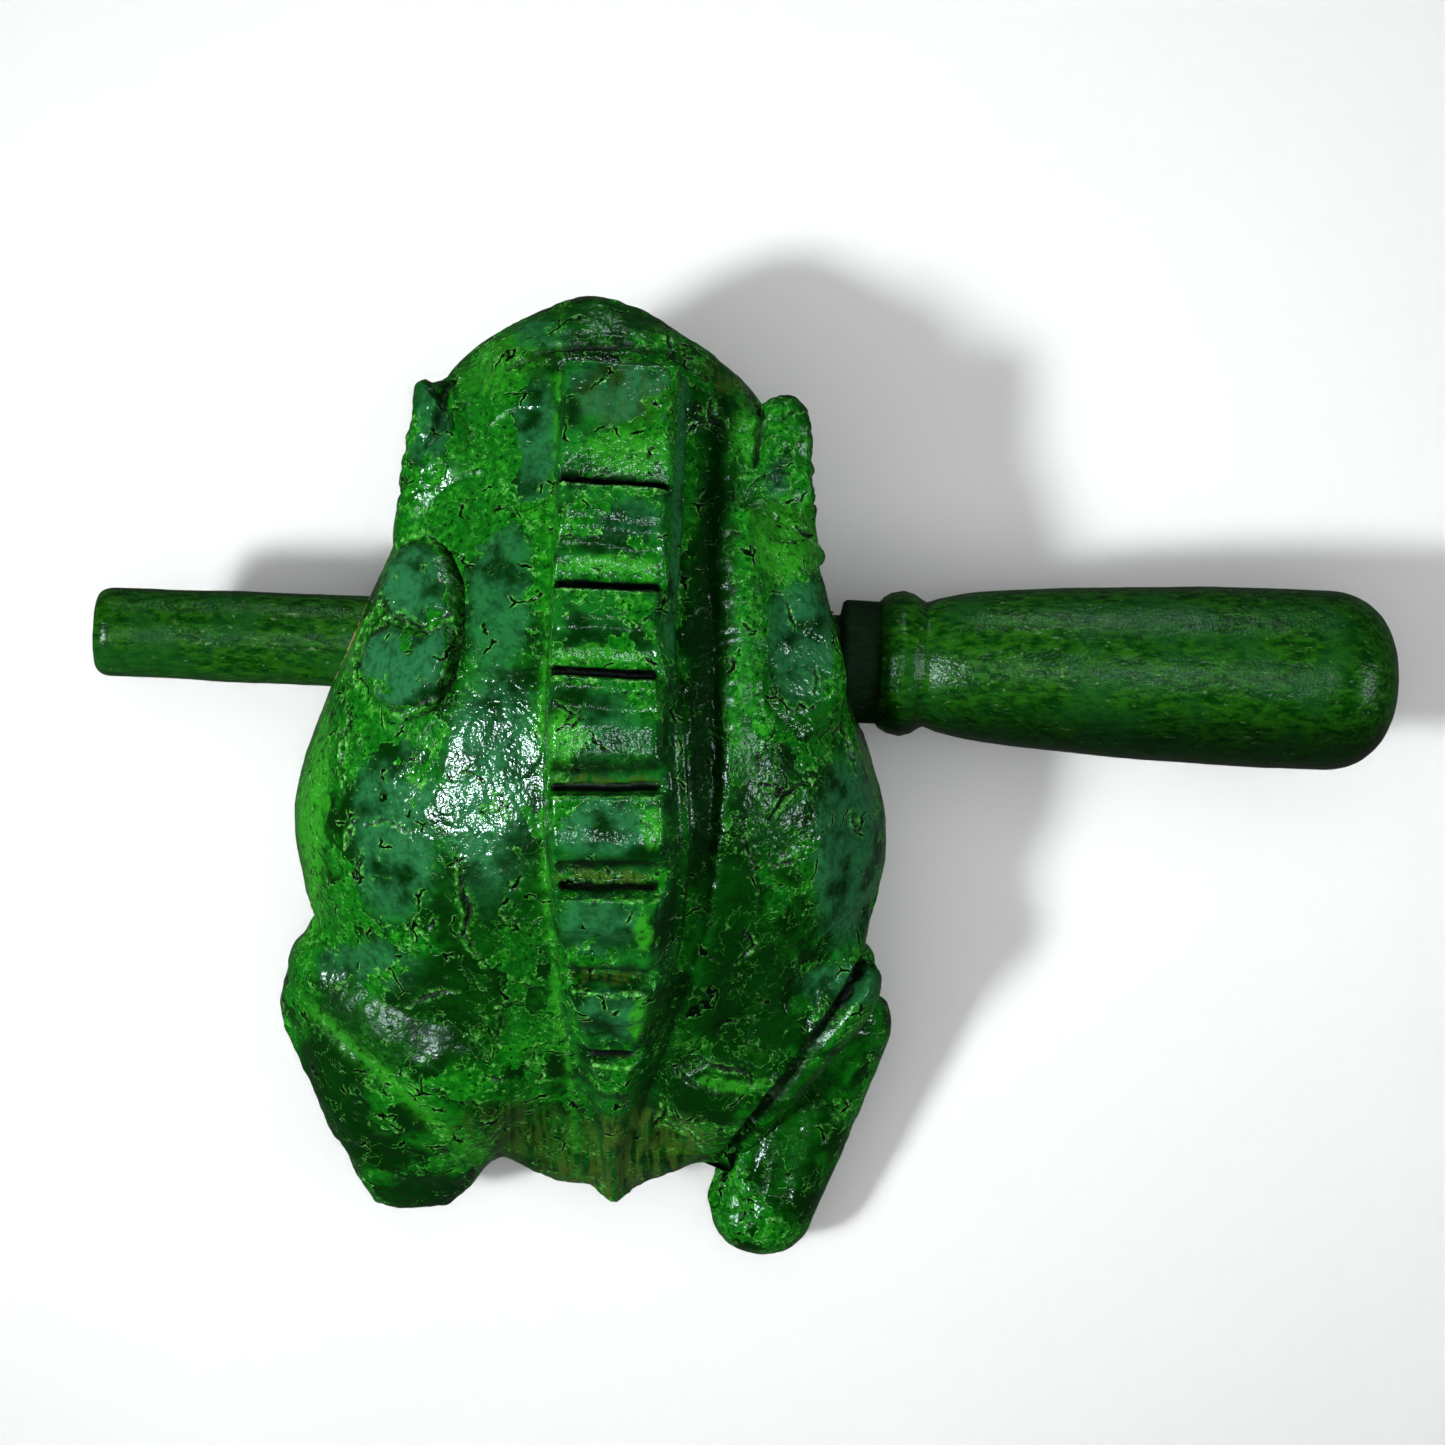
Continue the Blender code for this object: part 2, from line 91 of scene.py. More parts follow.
# Each notch, at its wall: the slope that comes down to it, the flat strip, the saw kerf at the
# wall's foot, how far the cut turns away from square, and where the tooth behind it is highest.
Notch = namedtuple("Notch", "y slope strip kerf tilt ridge")
NOTCHES = [Notch(*row) for row in (
    (13.6, 4.2, 0, 0.95, -0.05, 3.7), (4.85, 3.8, 0, 0.95, 0, 3.4), (-2.5, 3.4, 0, 0.95, 0, 1),
    (-12.1, 1.7, 0.8, 0.85, 0.05, 4.4), (-20.7, 1, 1.2, 1.1, 0.04, 2.3), (-28.6, 0.9, 1, 0.8, 0, 2.3),
    (-35.2, 1, 0, 1.3, 0, 2),
)]
STRIP_DEPTH = 1.25
KERF_DEPTH = 2.9
KERF_INSET = 0.12
NOTCH_RISE = 1.0
NOTCH_LEAN = 0.2
NOTCH_REACH = 9.5

# Limbs and eyes in mm, as hulls of balls: (outwards, y, z, radius).
LIMBS = {
    -1: {
        "eye": [(14.5, 20.8, 26.4, 2.1), (14.2, 14.8, 27.2, 2.8), (9.5, 15.5, 28.6, 2.2)],
        "brow": [(14.2, 14.8, 26.8, 2.8), (14.8, 9.2, 25, 3.2)],
        "shoulder": [(14.8, 4.4, 27.4, 3.8), (15.6, -2.2, 27.6, 4)],
        "thigh": [
            (10.5, -33.5, 16, 9.2), (20.2, -28.6, 17, 5.8), (22.2, -31.8, 14.5, 4.6),
            (11.8, -40.5, 10.8, 6.2), (18.2, -39.4, 14, 5), (16.4, -47, 9, 3), (13.2, -46.8, 8.2, 3.2),
        ],
        "foot": [(14, -45.5, 1.5, 4.2), (23.2, -26.2, 0.6, 2.1), (17.8, -23.6, 0.6, 2.1)],
    },
    1: {
        "eye": [(15, 19.8, 26.6, 2.5), (15.1, 14.8, 27, 2.7), (10.5, 16, 28.4, 2.3)],
        "brow": [(15.1, 14.8, 26.6, 2.7), (15.8, 9.2, 25, 3)],
        "shoulder": [(14, 8.5, 27.2, 3.6), (16.6, -2.2, 26.8, 4.4)],
        "thigh": [(11.5, -33, 16, 9.2), (20.8, -27.8, 19, 4.9), (11, -40, 10, 5.2)],
        "shin": [(22.4, -31.8, 10.5, 4.6), (16.2, -48.4, 6.5, 4.8)],
        "foot": [(16.8, -47.8, 1.5, 4.2), (23.6, -26.8, 0.6, 2.1), (18, -24.2, 0.6, 2.1)],
    },
}
UPPER_ARM = [(17, -3, 25, 3.4), (20.4, -9.5, 13, 3.8)]
FOREARM = [(20.2, -9.8, 11.2, 3.4), (14.6, 8, 4.2, 2.8)]
HAND = [(14, 8, 2, 3.2), (14.6, 17, 0.8, 2.1), (9.8, 18.6, 0.8, 2.1)]

TOE_GROOVE_DEPTH, TOE_GROOVE_HEIGHT, TOE_GROOVE_WIDTH = 1.8, 3.0, 3.2
TOE_GROOVE_BACK, TOE_GROOVE_FRONT = 6.5, 4.0
TOE_GROOVE_PLACES = (0.25, 0.75)

CAVITY_CENTRE = np.array((0.0, -5.0, 19.0))
CAVITY_RADII = np.array((15.5, 25.0, 12.0))
MOUTH_BACK_Y, MOUTH_FRONT_Y = 13.5, 40.0
MOUTH_BACK = (16.4, 21.8)
MOUTH_FRONT = (13.8, 23.6)


# Shapes


def at_y(rows, y):
    """A value that runs from head to tail, read at each y."""
    rows = sorted(rows)
    return np.interp(y, [row[0] for row in rows], [row[1] for row in rows])


def finish_mesh(name, shape):
    bmesh.ops.recalc_face_normals(shape, faces=shape.faces)
    mesh_data = bpy.data.meshes.new(name)
    shape.to_mesh(mesh_data)
    shape.free()
    return mesh_data


def add_object(name, mesh_data):
    obj = bpy.data.objects.new(name, mesh_data)
    bpy.context.scene.collection.objects.link(obj)
    return obj


def between(a, b, c, d, t):
    """The value at share t of the way from b to c, on a smooth curve through a, b, c and d."""
    bend = 2 * a - 5 * b + 4 * c - d
    twist = 3 * b - a - 3 * c + d
    return 0.5 * (2 * b + (c - a) * t + bend * t * t + twist * t**3)


def spline(rows, steps):
    """The rows with steps - 1 more between each two, on a Catmull-Rom curve through them all."""
    kind = type(rows[0])
    padded = [rows[0]] + rows + [rows[-1]]
    made = []
    for before, start, end, after in zip(padded, padded[1:], padded[2:], padded[3:]):
        for i in range(steps):
            t = i / steps
            made.append(kind(*(between(*values, t) for values in zip(before, start, end, after))))
    return made + [rows[-1]]


def loft(shape, rings):
    """Skins closed rings of equal length, given in mm, and closes both ends."""
    made = [[shape.verts.new(Vector(point) * MM) for point in ring] for ring in rings]
    count = len(made[0])
    for near, far in zip(made, made[1:]):
        for i in range(count):
            shape.faces.new((near[i], near[(i + 1) % count], far[(i + 1) % count], far[i]))
    shape.faces.new(made[0])
    shape.faces.new(reversed(made[-1]))


def lofted(name, skins):
    """A mesh of one or more lofts, each given by its rings."""
    shape = bmesh.new()
    for rings in skins:
        loft(shape, rings)
    return finish_mesh(name, shape)


def signed_power(value, power):
    return math.copysign(abs(value) ** power, value)


def torso_ring(section, count=96):
    points = []
    for i in range(count):
        angle = 2 * math.pi * i / count
        above = math.sin(angle) >= 0
        power = 2 / (BACK_ROUNDNESS if above else BELLY_ROUNDNESS)
        reach = section.top - section.waist if above else section.waist - section.bottom
        points.append((
            section.centre + section.half_width * signed_power(math.cos(angle), power),
            section.y,
            section.waist + reach * signed_power(math.sin(angle), power),
        ))
    return points


def hull_of_balls(shape, balls, side):
    unit = bmesh.new()
    bmesh.ops.create_icosphere(unit, subdivisions=3, radius=1.0)
    directions = [vert.co.copy() for vert in unit.verts]
    unit.free()
    points = []
    for outwards, y, z, radius in balls:
        centre = Vector((side * outwards, y, z))
        points += [shape.verts.new((centre + direction * radius) * MM) for direction in directions]
    hull = bmesh.ops.convex_hull(shape, input=points)
    inside = {part for part in hull["geom_interior"] + hull["geom_unused"] if part in points}
    bmesh.ops.delete(shape, geom=list(inside), context="VERTS")


def carved_block():
    shape = bmesh.new()
    loft(shape, [torso_ring(section) for section in spline(TORSO, 8)])
    for side, limbs in LIMBS.items():
        for balls in list(limbs.values()) + [UPPER_ARM, FOREARM, HAND]:
            hull_of_balls(shape, balls, side)
    return finish_mesh("carved_block", shape)


def crest_line(steps=6):
    """Points along the crest's top from head to tail, with tangents and outward normals."""
    rows = spline(CREST, steps)
    line = []
    for before, row, after in zip(rows[:1] + rows, rows, rows[1:] + rows[-1:]):
        tangent = Vector((0, after.y - before.y, after.top - before.top)).normalized()
        line.append((row, tangent, Vector((0, tangent.z, -tangent.y))))
    return line


def crest_at(column, y):
    """One column of the crest's table, read at each y."""
    return at_y([(row.y, getattr(row, column)) for row in CREST], y)


def crest_sides(y):
    """The crest's outline on each side, as (outwards, down) pairs from the edge of its top."""
    left, right = float(at_y(LEFT_FLARE, y)), float(at_y(RIGHT_FLARE, y))
    left_top = [(-0.3, 0.0), (0.0, 0.3), (0.7 * left, 1.8)]
    left_root = [(left, 3.4), (left + 1.0, 7.0), (left + 1.6, 10.0)]
    right_top = [(-0.2, 0.0), (0.05, 0.3), (0.5 * right, 1.5)]
    right_root = [(right, 2.6), (right + 0.3, 5.0), (right + 0.8, 10.0)]
    return left_top + left_root, right_top + right_root


def crest_fin():
    rings = []
    for row, _, normal in crest_line():
        top = Vector((row.drift, row.y, row.top))
        left_side, right_side = crest_sides(row.y)
        right = [top + Vector((row.half_width + out, 0, 0)) - normal * down for out, down in right_side]
        left = [top - Vector((row.half_width + out, 0, 0)) - normal * down for out, down in left_side]
        rings.append(right + left[::-1])
    return lofted("crest_fin", [rings])


def place_on_crest(y):
    line = crest_line()
    for (a, tangent_a, normal_a), (b, tangent_b, normal_b) in zip(line, line[1:]):
        if a.y >= y >= b.y:
            t = (a.y - y) / (a.y - b.y)
            point = Vector((a.drift, a.y, a.top)).lerp(Vector((b.drift, b.y, b.top)), t)
            return point, tangent_a.lerp(tangent_b, t).normalized(), normal_a.lerp(normal_b, t).normalized()
    raise ValueError("the notch lies beyond the crest")


def across_crest(notch, outline, reach):
    """Sweeps an outline, given as (towards the head, up) pairs at a notch, across the crest."""
    point, tangent, normal = place_on_crest(notch.y)
    places = [point - tangent * along + normal * up for along, up in outline]
    return [[Vector((p.x + x, p.y + notch.tilt * x, p.z)) for p in places] for x in (-reach, reach)]


def saw_tooth(notch):
    """A slope down from the head, a flat strip, and an upright wall."""
    strip_end = notch.kerf + notch.strip
    return across_crest(notch, [
        (-NOTCH_LEAN, NOTCH_RISE),
        (0.0, -STRIP_DEPTH),
        (strip_end, -STRIP_DEPTH),
        (strip_end + notch.slope * 0.45, -STRIP_DEPTH * 0.45),
        (strip_end + notch.slope * (1 + NOTCH_RISE / STRIP_DEPTH), NOTCH_RISE),
    ], NOTCH_REACH)


def saw_cut(notch):
    """The saw cut at the foot of the wall, which stops short of the crest's sides."""
    wall, front = KERF_INSET, notch.kerf
    outline = [(wall, 0.0), (wall, -KERF_DEPTH), (front, -KERF_DEPTH), (front, 0.0)]
    return across_crest(notch, outline, float(crest_at("half_width", notch.y)))


def mouth():
    radius = (MOUTH_BACK[1] - MOUTH_BACK[0]) / 2
    outline = [(MOUTH_FRONT_Y, height) for height in MOUTH_FRONT]
    steps = 12
    for i in range(steps + 1):
        angle = math.pi / 2 + math.pi * i / steps
        outline.append((
            MOUTH_BACK_Y + radius + radius * math.cos(angle),
            sum(MOUTH_BACK) / 2 + radius * math.sin(angle),
        ))
    return lofted("mouth", [[[(x, y, z) for y, z in outline] for x in (-BEYOND_SIDES, BEYOND_SIDES)]])


def cavity():
    shape = bmesh.new()
    bmesh.ops.create_uvsphere(shape, u_segments=64, v_segments=32, radius=1.0)
    bmesh.ops.scale(shape, vec=CAVITY_RADII * MM, verts=shape.verts)
    bmesh.ops.translate(shape, vec=CAVITY_CENTRE * MM, verts=shape.verts)
    return finish_mesh("cavity", shape)


def cylinder_along_x(name, start, end, radius):
    shape = bmesh.new()
    middle = Matrix.Translation(((start + end) / 2, 0, BORE_HEIGHT)) @ Matrix.Rotation(math.pi / 2, 4, "Y")
    bmesh.ops.create_cone(
        shape, cap_ends=True, segments=64, radius1=radius, radius2=radius, depth=end - start, matrix=middle
    )
    return finish_mesh(name, shape)


def toe_grooves():
    skins = []
    feet = [(side, balls) for side, limbs in LIMBS.items() for balls in (HAND, limbs["foot"])]
    for side, (heel, outer, inner) in feet:
        outer_toe = Vector((side * outer[0], outer[1], 0))
        inner_toe = Vector((side * inner[0], inner[1], 0))
        along = ((outer_toe + inner_toe) / 2 - Vector((side * heel[0], heel[1], 0))).normalized()
        across = Vector((along.y, -along.x, 0))
        half = across * TOE_GROOVE_WIDTH / 2
        bottom = outer[2] + outer[3] - TOE_GROOVE_DEPTH
        for share in TOE_GROOVE_PLACES:
            tip = outer_toe.lerp(inner_toe, share)
            rings = []
            for reach, lift in ((-TOE_GROOVE_BACK, TOE_GROOVE_HEIGHT), (TOE_GROOVE_FRONT, 0.0)):
                low = tip + along * reach + Vector((0, 0, bottom + lift))
                high = low + Vector((0, 0, TOE_GROOVE_DEPTH + TOE_GROOVE_HEIGHT))
                rings.append([low, high + half, high - half])
            skins.append(rings)
    return lofted("toe_grooves", skins)


def below_base():
    shape = bmesh.new()
    below = Matrix.Translation((0, 0, -BELOW_BASE_SIZE / 2))
    bmesh.ops.create_cube(shape, size=BELOW_BASE_SIZE, matrix=below)
    return finish_mesh("below_base", shape)


def evaluated_mesh(obj, name):
    """The object's mesh with its modifiers applied. The object and its helpers go."""
    graph = bpy.context.evaluated_depsgraph_get()
    mesh_data = bpy.data.meshes.new_from_object(obj.evaluated_get(graph))
    mesh_data.name = name
    helpers = [m.object for m in obj.modifiers if m.type == "BOOLEAN"]
    for old in helpers + [obj]:
        bpy.data.objects.remove(old)
    return mesh_data


def modify(obj, name, kind, **settings):
    modifier = obj.modifiers.new(name, kind)
    for setting, value in settings.items():
        setattr(modifier, setting, value)


def rough_frog():
    """The block with everything cut, as one even skin of small quads."""
    frog = add_object("rough_frog", carved_block())
    modify(frog, "fuse", "REMESH", mode="VOXEL", voxel_size=FUSE_VOXEL)
    modify(frog, "soften", "SMOOTH", iterations=10)
    bore_end = BEYOND_SIDES * MM
    bore = cylinder_along_x("bore", -bore_end, bore_end, BORE_RADIUS)
    seat = cylinder_along_x("seat", SEAT_START, bore_end, SEAT_RADIUS)
    teeth = lofted("notches", map(saw_tooth, NOTCHES))
    kerfs = lofted("kerfs", map(saw_cut, NOTCHES))
    cuts = [teeth, kerfs, mouth(), cavity(), bore, seat, toe_grooves(), below_base()]
    for mesh_data, operation in [(crest_fin(), "UNION")] + [(cut, "DIFFERENCE") for cut in cuts]:
        tool = add_object(mesh_data.name, mesh_data)
        modify(frog, mesh_data.name, "BOOLEAN", object=tool, operation=operation, solver="MANIFOLD")
    modify(frog, "skin", "REMESH", mode="VOXEL", voxel_size=SKIN_VOXEL)
    modify(frog, "ease", "SMOOTH", iterations=2)
    return evaluated_mesh(frog, "frog_skin")


# Noise


def smoothstep(low, high, value):
    t = np.clip((value - low) / (high - low), 0, 1)
    return t * t * (3 - 2 * t)


HASH_AXES = (73856093, 19349663, 83492791)
HASH_SEED = 2654435761
HASH_ROUNDS = ((15, 2246822519), (13, 3266489917))
HASH_MASK = 0xFFFFFFFF
HASH_TOP = 0xFFFFFF


def hashed(cell, seed):
    """A number from 0 to 1 for each whole-numbered cell, by large odd factors that scatter it."""
    mixed = seed * HASH_SEED
    for axis, factor in enumerate(HASH_AXES):
        mixed = mixed ^ (cell[:, axis] * factor)
    mixed = mixed & HASH_MASK
    for shift, factor in HASH_ROUNDS:
        mixed = ((mixed ^ (mixed >> shift)) * factor) & HASH_MASK
    return ((mixed ^ (mixed >> 16)) & HASH_TOP) / HASH_TOP


def bell(distance, width):
    return np.exp(-((distance / width) ** 2))


def noise(points, size, seed):
    """Smooth noise from -1 to 1, with lumps of about the given size."""
    scaled = points / size
    cell = np.floor(scaled).astype(np.int64)
    t = scaled - cell
    t = t * t * (3 - 2 * t)
    total = np.zeros(len(points))
    for corner in np.ndindex(2, 2, 2):
        weight = np.prod(np.where(np.array(corner) == 1, t, 1 - t), axis=1)
        total += weight * hashed(cell + np.array(corner), seed)
    return 2 * total - 1


def fractal(points, size, seed, octaves=3):
    total = sum(noise(points, size / 2**i, seed + i) / 2**i for i in range(octaves))
    return total / (2 - 2 ** (1 - octaves))


def from_path(xy, path):
    """Distance to a path of points, and the share of its length where each point is nearest."""
    path = np.array(path, float)
    lengths = np.linalg.norm(np.diff(path, axis=0), axis=1)
    starts = np.concatenate([[0], np.cumsum(lengths)])
    best = np.full(len(xy), 1e9)
    share = np.zeros(len(xy))
    for start, end, length, offset in zip(path, path[1:], lengths, starts):
        t = np.clip(((xy - start) @ (end - start)) / length**2, 0, 1)
        distance = np.linalg.norm(xy - (start + t[:, None] * (end - start)), axis=1)
        closer = distance < best
        best = np.where(closer, distance, best)
        share = np.where(closer, (offset + t * length) / starts[-1], share)
    return best, share


def inside_outline(xy, outline):
    """Distance inside a closed outline in mm, negative outside it."""
    outline = np.array(outline, float)
    following = np.roll(outline, -1, axis=0)
    within = np.zeros(len(xy), bool)
    for (x1, y1), (x2, y2) in zip(outline, following):
        if y1 != y2:
            crosses = (y1 > xy[:, 1]) != (y2 > xy[:, 1])
            within ^= crosses & (xy[:, 0] < (x2 - x1) * (xy[:, 1] - y1) / (y2 - y1) + x1)
    distance, _ = from_path(xy, np.vstack([outline, outline[:1]]))
    return np.where(within, distance, -distance)


# Carving marks, in mm on the frog as seen from above

# The trough right of the crest, by place: its right edge, its left edge, and its depth.
TROUGH_RIGHT = [
    (21.5, 9.6), (20, 10.2), (14.5, 10.5), (8, 10.8), (1, 11.7), (-6, 11.5), (-10, 11.3), (-32, 10.5),
]
TROUGH_LEFT = [(21.5, 6.2), (18, 6.5), (13, 6.4), (2, 6.6), (-6, 7.6), (-16, 8), (-32, 6.5)]
TROUGH_DEPTH = [
    (22, 0), (19, 1.5), (12, 1.9), (0, 1.9), (-6, 1.5), (-12, 0.9), (-24, 0.5), (-32, 0),
]
# Outlines and paths of the other marks, as (x, y).
HEAD_TROUGH = [(-11.6, 24.5), (-10.9, 18.8), (-10.3, 14.5), (-9.8, 8)]
LEFT_PADS = [
    [
        (-17.9, 6.2), (-16.9, 7.9), (-15, 8.6), (-13.2, 7.4), (-12.1, 4.8), (-12.1, 2.4), (-14.4, 1.2),
        (-17, 1.9), (-18.2, 3.8),
    ],
    [
        (-19.3, 0.2), (-17.2, 1.3), (-14.3, 0.7), (-12.2, 1.5), (-11.9, -1.6), (-12.9, -4.4), (-15.6, -5.9),
        (-18.3, -5.2), (-19.9, -2.6),
    ],
]
RIGHT_ARM = [
    (11.2, 12.4), (13.7, 13.3), (16.8, 11.7), (19.5, 8.5), (20.9, 3.4), (21.5, -1.7), (20.8, -6),
    (17.5, -7.4), (14.1, -7.1), (12.4, -3.9), (11.5, 4.4),
]
HAUNCH_CREASE = [(-23.5, -31.7), (-20.9, -33.9), (-17.4, -36.6), (-13.4, -40.4), (-9, -44.4)]

# The cracks: by half width and depth, the path of each.
CRACKS = {
    (0.15, 0.5): [
        [(-17.8, 5.8), (-18.5, 2.9), (-20, 0.8), (-20.2, -1.1), (-20.3, -3.8), (-21.6, -5)],
        [(14.9, -14.1), (16, -12.3), (17.2, -10.8), (18.7, -10.3)],
        [(7, -37.5), (7.4, -39.6), (6.4, -41), (5.2, -42.8)],
    ],
    (0.12, 0.4): [
        [(-18.1, 1.6), (-15.8, 2), (-14, 0.6), (-12.6, 1.6)], [(16.2, 11), (18.3, 9.3)],
        [(7.4, -40.6), (9.7, -41.5), (10.5, -42.8)],
        [(8.2, -36.1), (10.7, -35), (14.3, -35.6), (14.6, -36.7)],
    ],
    (0.11, 0.4): [
        [(-20.8, -6.8), (-21.2, -10.6), (-20.7, -12.9)], [(-19.7, -15.2), (-20.5, -17.6)],
        [(-14.7, -30.5), (-11.8, -29.3), (-10.5, -29.2)], [(13.7, -23.1), (14.4, -24.3), (12.9, -26)],
    ],
    (0.16, 0.6): [
        [(-10.9, -16.9), (-10.4, -19.4), (-10.2, -21), (-9.6, -22.6), (-10.1, -24.6), (-8.9, -26.2)],
    ],
    (0.1, 0.3): [
        [(-12.1, -23), (-12.9, -24)], [(-14.8, -23.4), (-14.4, -25.6)], [(13.6, -23.4), (14.6, -24.6)],
        [(15.5, -17.5), (17.8, -17)], [(13, -15.2), (13.9, -17.3)], [(4.9, 27.4), (5.2, 25.5)],
        [(-7, -30.6), (-7.2, -34.3)],
    ],
    (0.09, 0.3): [
        [(-18.9, -15.4), (-16.4, -15.1), (-14.5, -16.1)], [(-19.3, -20.1), (-18.9, -17.7)],
        [(21.1, -5.2), (22.3, -9.7)], [(15.4, 4.6), (16.3, 2)], [(18.1, -0.9), (18.3, -2.9)],
        [(-4.1, -34.2), (-4, -35.5)], [(-3.2, -36.1), (-3.8, -37.6)], [(-8, -36.8), (-6.4, -36.9)],
    ],
    (0.1, 0.4): [[(22.2, -12.7), (22.7, -14.7)]],
    (0.14, 0.5): [[(8.9, 21.6), (9.2, 20), (10.3, 19.4)]],
    (0.12, 0.3): [[(7.3, 18.9), (7.8, 19.7)]],
}
# Each groove: its depth, its half width at its ends and how much more in its middle, the shares of
# that width where it starts and where it is deepest, whether its edges are ragged, and its paths.
Groove = namedtuple("Groove", "depth ends middle outer inner ragged paths")
GROOVES = {
    "pad_gap": Groove(1.4, 0.25, 0.6, 0.6, 0.25, False, [
        [(-14.4, 8.9), (-12.7, 7.5), (-11.5, 4.9), (-11.3, 0.9), (-11.7, -2.8), (-13, -5.4), (-15.6, -6.6)],
    ]),
    "shin": Groove(1.8, 1, 0, 1.1, 0.25, False, [
        [(25, -24.6), (22.1, -29.9), (18, -36.3), (12, -45.4)],
    ]),
    "eyes": Groove(0.7, 0.3, 0.5, 1, 0.2, True, [
        [(-13.5, 24.4), (-13.7, 20.9), (-13.9, 18.3), (-15.2, 16.6)],
        [(12.9, 21.8), (13.3, 19.2), (13, 16)],
    ]),
    "lip": Groove(0.5, 0.4, 0.6, 0.75, 0.15, True, [
        [(-8.5, 23.4), (-5, 25.2), (0, 25.9), (5, 25.4), (8.4, 23.4)],
    ]),
}
# How far the other marks rise or sink, in mm
HEAD_TROUGH_DEPTH = 0.9
PAD_RISE = 0.8
ARM_RISE = 0.7
CREASE_DEPTH = 0.25
CRACK_RIM_RISE = 0.10
RIDGE_RISE = 0.32
DIP_DEPTH = 0.34
EDGE_LIP_RISE = 0.35
HAUNCH_PLACE = (-16.5, -31.0)
# How near to a cut the skin counts as the wall of it, in mm.
CUT_MARGIN = 0.25
BASE_MARGIN = 0.3
DEEPEST_CHISEL = 0.7

CHISEL_CUTS = 90
# Broad flats that the knife left: where they lie, how far they reach, and how deep they go.
Flat = namedtuple("Flat", "x y reach depth")
FLATS = [Flat(*row) for row in (
    (-8.6, -11, 8, 0.3), (-6.4, 17, 6, 0.3), (22, -15, 7, 0.35), (-18.5, -14, 7, 0.25),
    (20.5, -28, 4, 0.45), (17.5, -42, 6, 0.4), (14.2, 16.5, 5, 0.3), (13, -31, 7, 0.4),
)]

# Where each tone lies on the top, as ellipses: centre, half sizes and strength; a few stand for light or
# shade, as noted.
Patch = namedtuple("Patch", "x y half_x half_y strength")
PATCHES = {
    "teal": [
        # Teal is a bluish tone of the paint; the patches on the left flank, the right flank and the right
        # thigh are partly painted sheen, their bluish tint standing for the reflection there.
        (1.7, 21.4, 4.4, 2.6, 1), (-5.7, 17.2, 1.7, 5, 0.8), (-16.2, -15.9, 3.5, 6.7, 0.9),
        (-8.1, -12.1, 3.5, 9.1, 0.9), (-18.3, -27.6, 4.3, 2, 0.7), (22.1, -16.1, 2.9, 7.6, 1),
        (17.1, 1.4, 2.5, 5, 0.9), (21.9, -27.9, 3.4, 1.7, 0.8), (-14.8, 18.4, 1.5, 3.8, 0.6),
        (2.6, 10.6, 2.5, 1.8, 0.6), (0.9, -6, 2.9, 2.3, 0.6), (1.3, -15, 3.7, 2.3, 0.9),
        (1.5, -22.8, 3.3, 2.3, 0.8), (2.5, -30.5, 2.5, 2, 0.8), (15.6, 14.4, 1.7, 2.4, 0.6),
        (-5.5, 26.6, 2.6, 1.4, 0.6), (-8, 4, 2.6, 6.2, 0.7),
    ],
    "dark": [
        # The first dark patch, along the trough right of the crest, is painted shade, where the crest's
        # shadow falls.
        (9.7, 1, 1.8, 20.8, 1), (13.7, -29.2, 4.2, 7.6, 1), (11.1, -37.8, 3.3, 1.9, 1),
        (-11.2, -31.1, 5.1, 5.1, 0.9), (-21.3, -38.4, 3.3, 9.6, 1), (-13.4, -48.4, 3.6, 2.2, 1),
        (19.2, -42.4, 3.5, 7.1, 0.6), (14.7, -13, 3, 5, 0.8), (9, -33, 3, 6, 0.8),
        (-16.5, -33.5, 4, 3.2, 0.8), (-5.4, -19.5, 1.8, 5, 0.7), (0, -42.5, 7.5, 3.6, 0.6),
        (12.6, -22, 2.4, 6, 0.9), (-9.5, -23.1, 3.3, 4.2, 0.7), (17.6, 20.4, 1.6, 2, 0.6),
        (-4.6, -27, 2, 5, 0.5), (0.5, 28.2, 6.5, 1.2, 0.7),
    ],
    "mottle": [
        (-16.5, -32, 4.8, 4.2, 0.9), (14.6, 18, 3.4, 6, 0.7), (12.6, 9, 2.2, 6.5, 0.8),
        (-9.9, 16.3, 2.5, 7.6, 1), (-4.3, -29.7, 2.2, 8.4, 0.4), (-0.8, 27, 7.6, 2, 0.4),
        (12.5, 1.2, 1.5, 10.9, 0.9), (-12.7, 9.9, 4.2, 2.4, 0.9), (12.4, -49.3, 1.8, 3.6, 0.7),
        (-16.3, -7.1, 3, 1.5, 0.8),
    ],
    "lime": [
        (-24.2, -13.9, 1.7, 11.2, 1), (12.3, 19.3, 1.6, 2.6, 0.5), (-10.8, 24, 5.1, 2.5, 0.5),
        (1.9, 16.3, 3.5, 1.5, 0.6), (0.7, 6.9, 3.7, 0.8, 0.9), (0.5, -0.7, 3.3, 0.7, 0.6),
        (-2.2, -7.3, 1.5, 2.1, 0.9), (5.3, -14.4, 0.7, 1.5, 0.8), (5, -23.1, 0.8, 1.6, 0.9),
        (4.7, -30.8, 0.7, 1.8, 0.9), (15.6, 10, 2.8, 3.2, 0.9), (13.2, -36.7, 3.4, 0.5, 0.7),
    ],
    "olive": [
        (3.5, -46.4, 6.5, 3.5, 1), (1.4, 21, 3.6, 2.6, 0.3), (6, -41.8, 5.2, 2.3, 0.9),
        (-5.3, -42, 4.4, 2.6, 0.45), (10.8, 24.1, 2.6, 1.7, 0.7), (1.3, -19, 3.9, 0.6, 1),
        (2, -27.3, 3.1, 0.5, 1), (1.6, -10.9, 4, 0.4, 0.8),
    ],
}
TONES = ("teal", "dark", "lime", "mottle", "olive")
PUPIL_Y, PUPIL_Z, PUPIL_RADIUS, PUPIL_INSIDE = 15.8, 25.2, 2.0, 14.5


def read_vertices(mesh_data, kind):
    """Each vertex's place ("co") or its normal ("normal")."""
    values = np.empty(len(mesh_data.vertices) * 3)
    mesh_data.vertices.foreach_get(kind, values)
    return values.reshape(-1, 3)


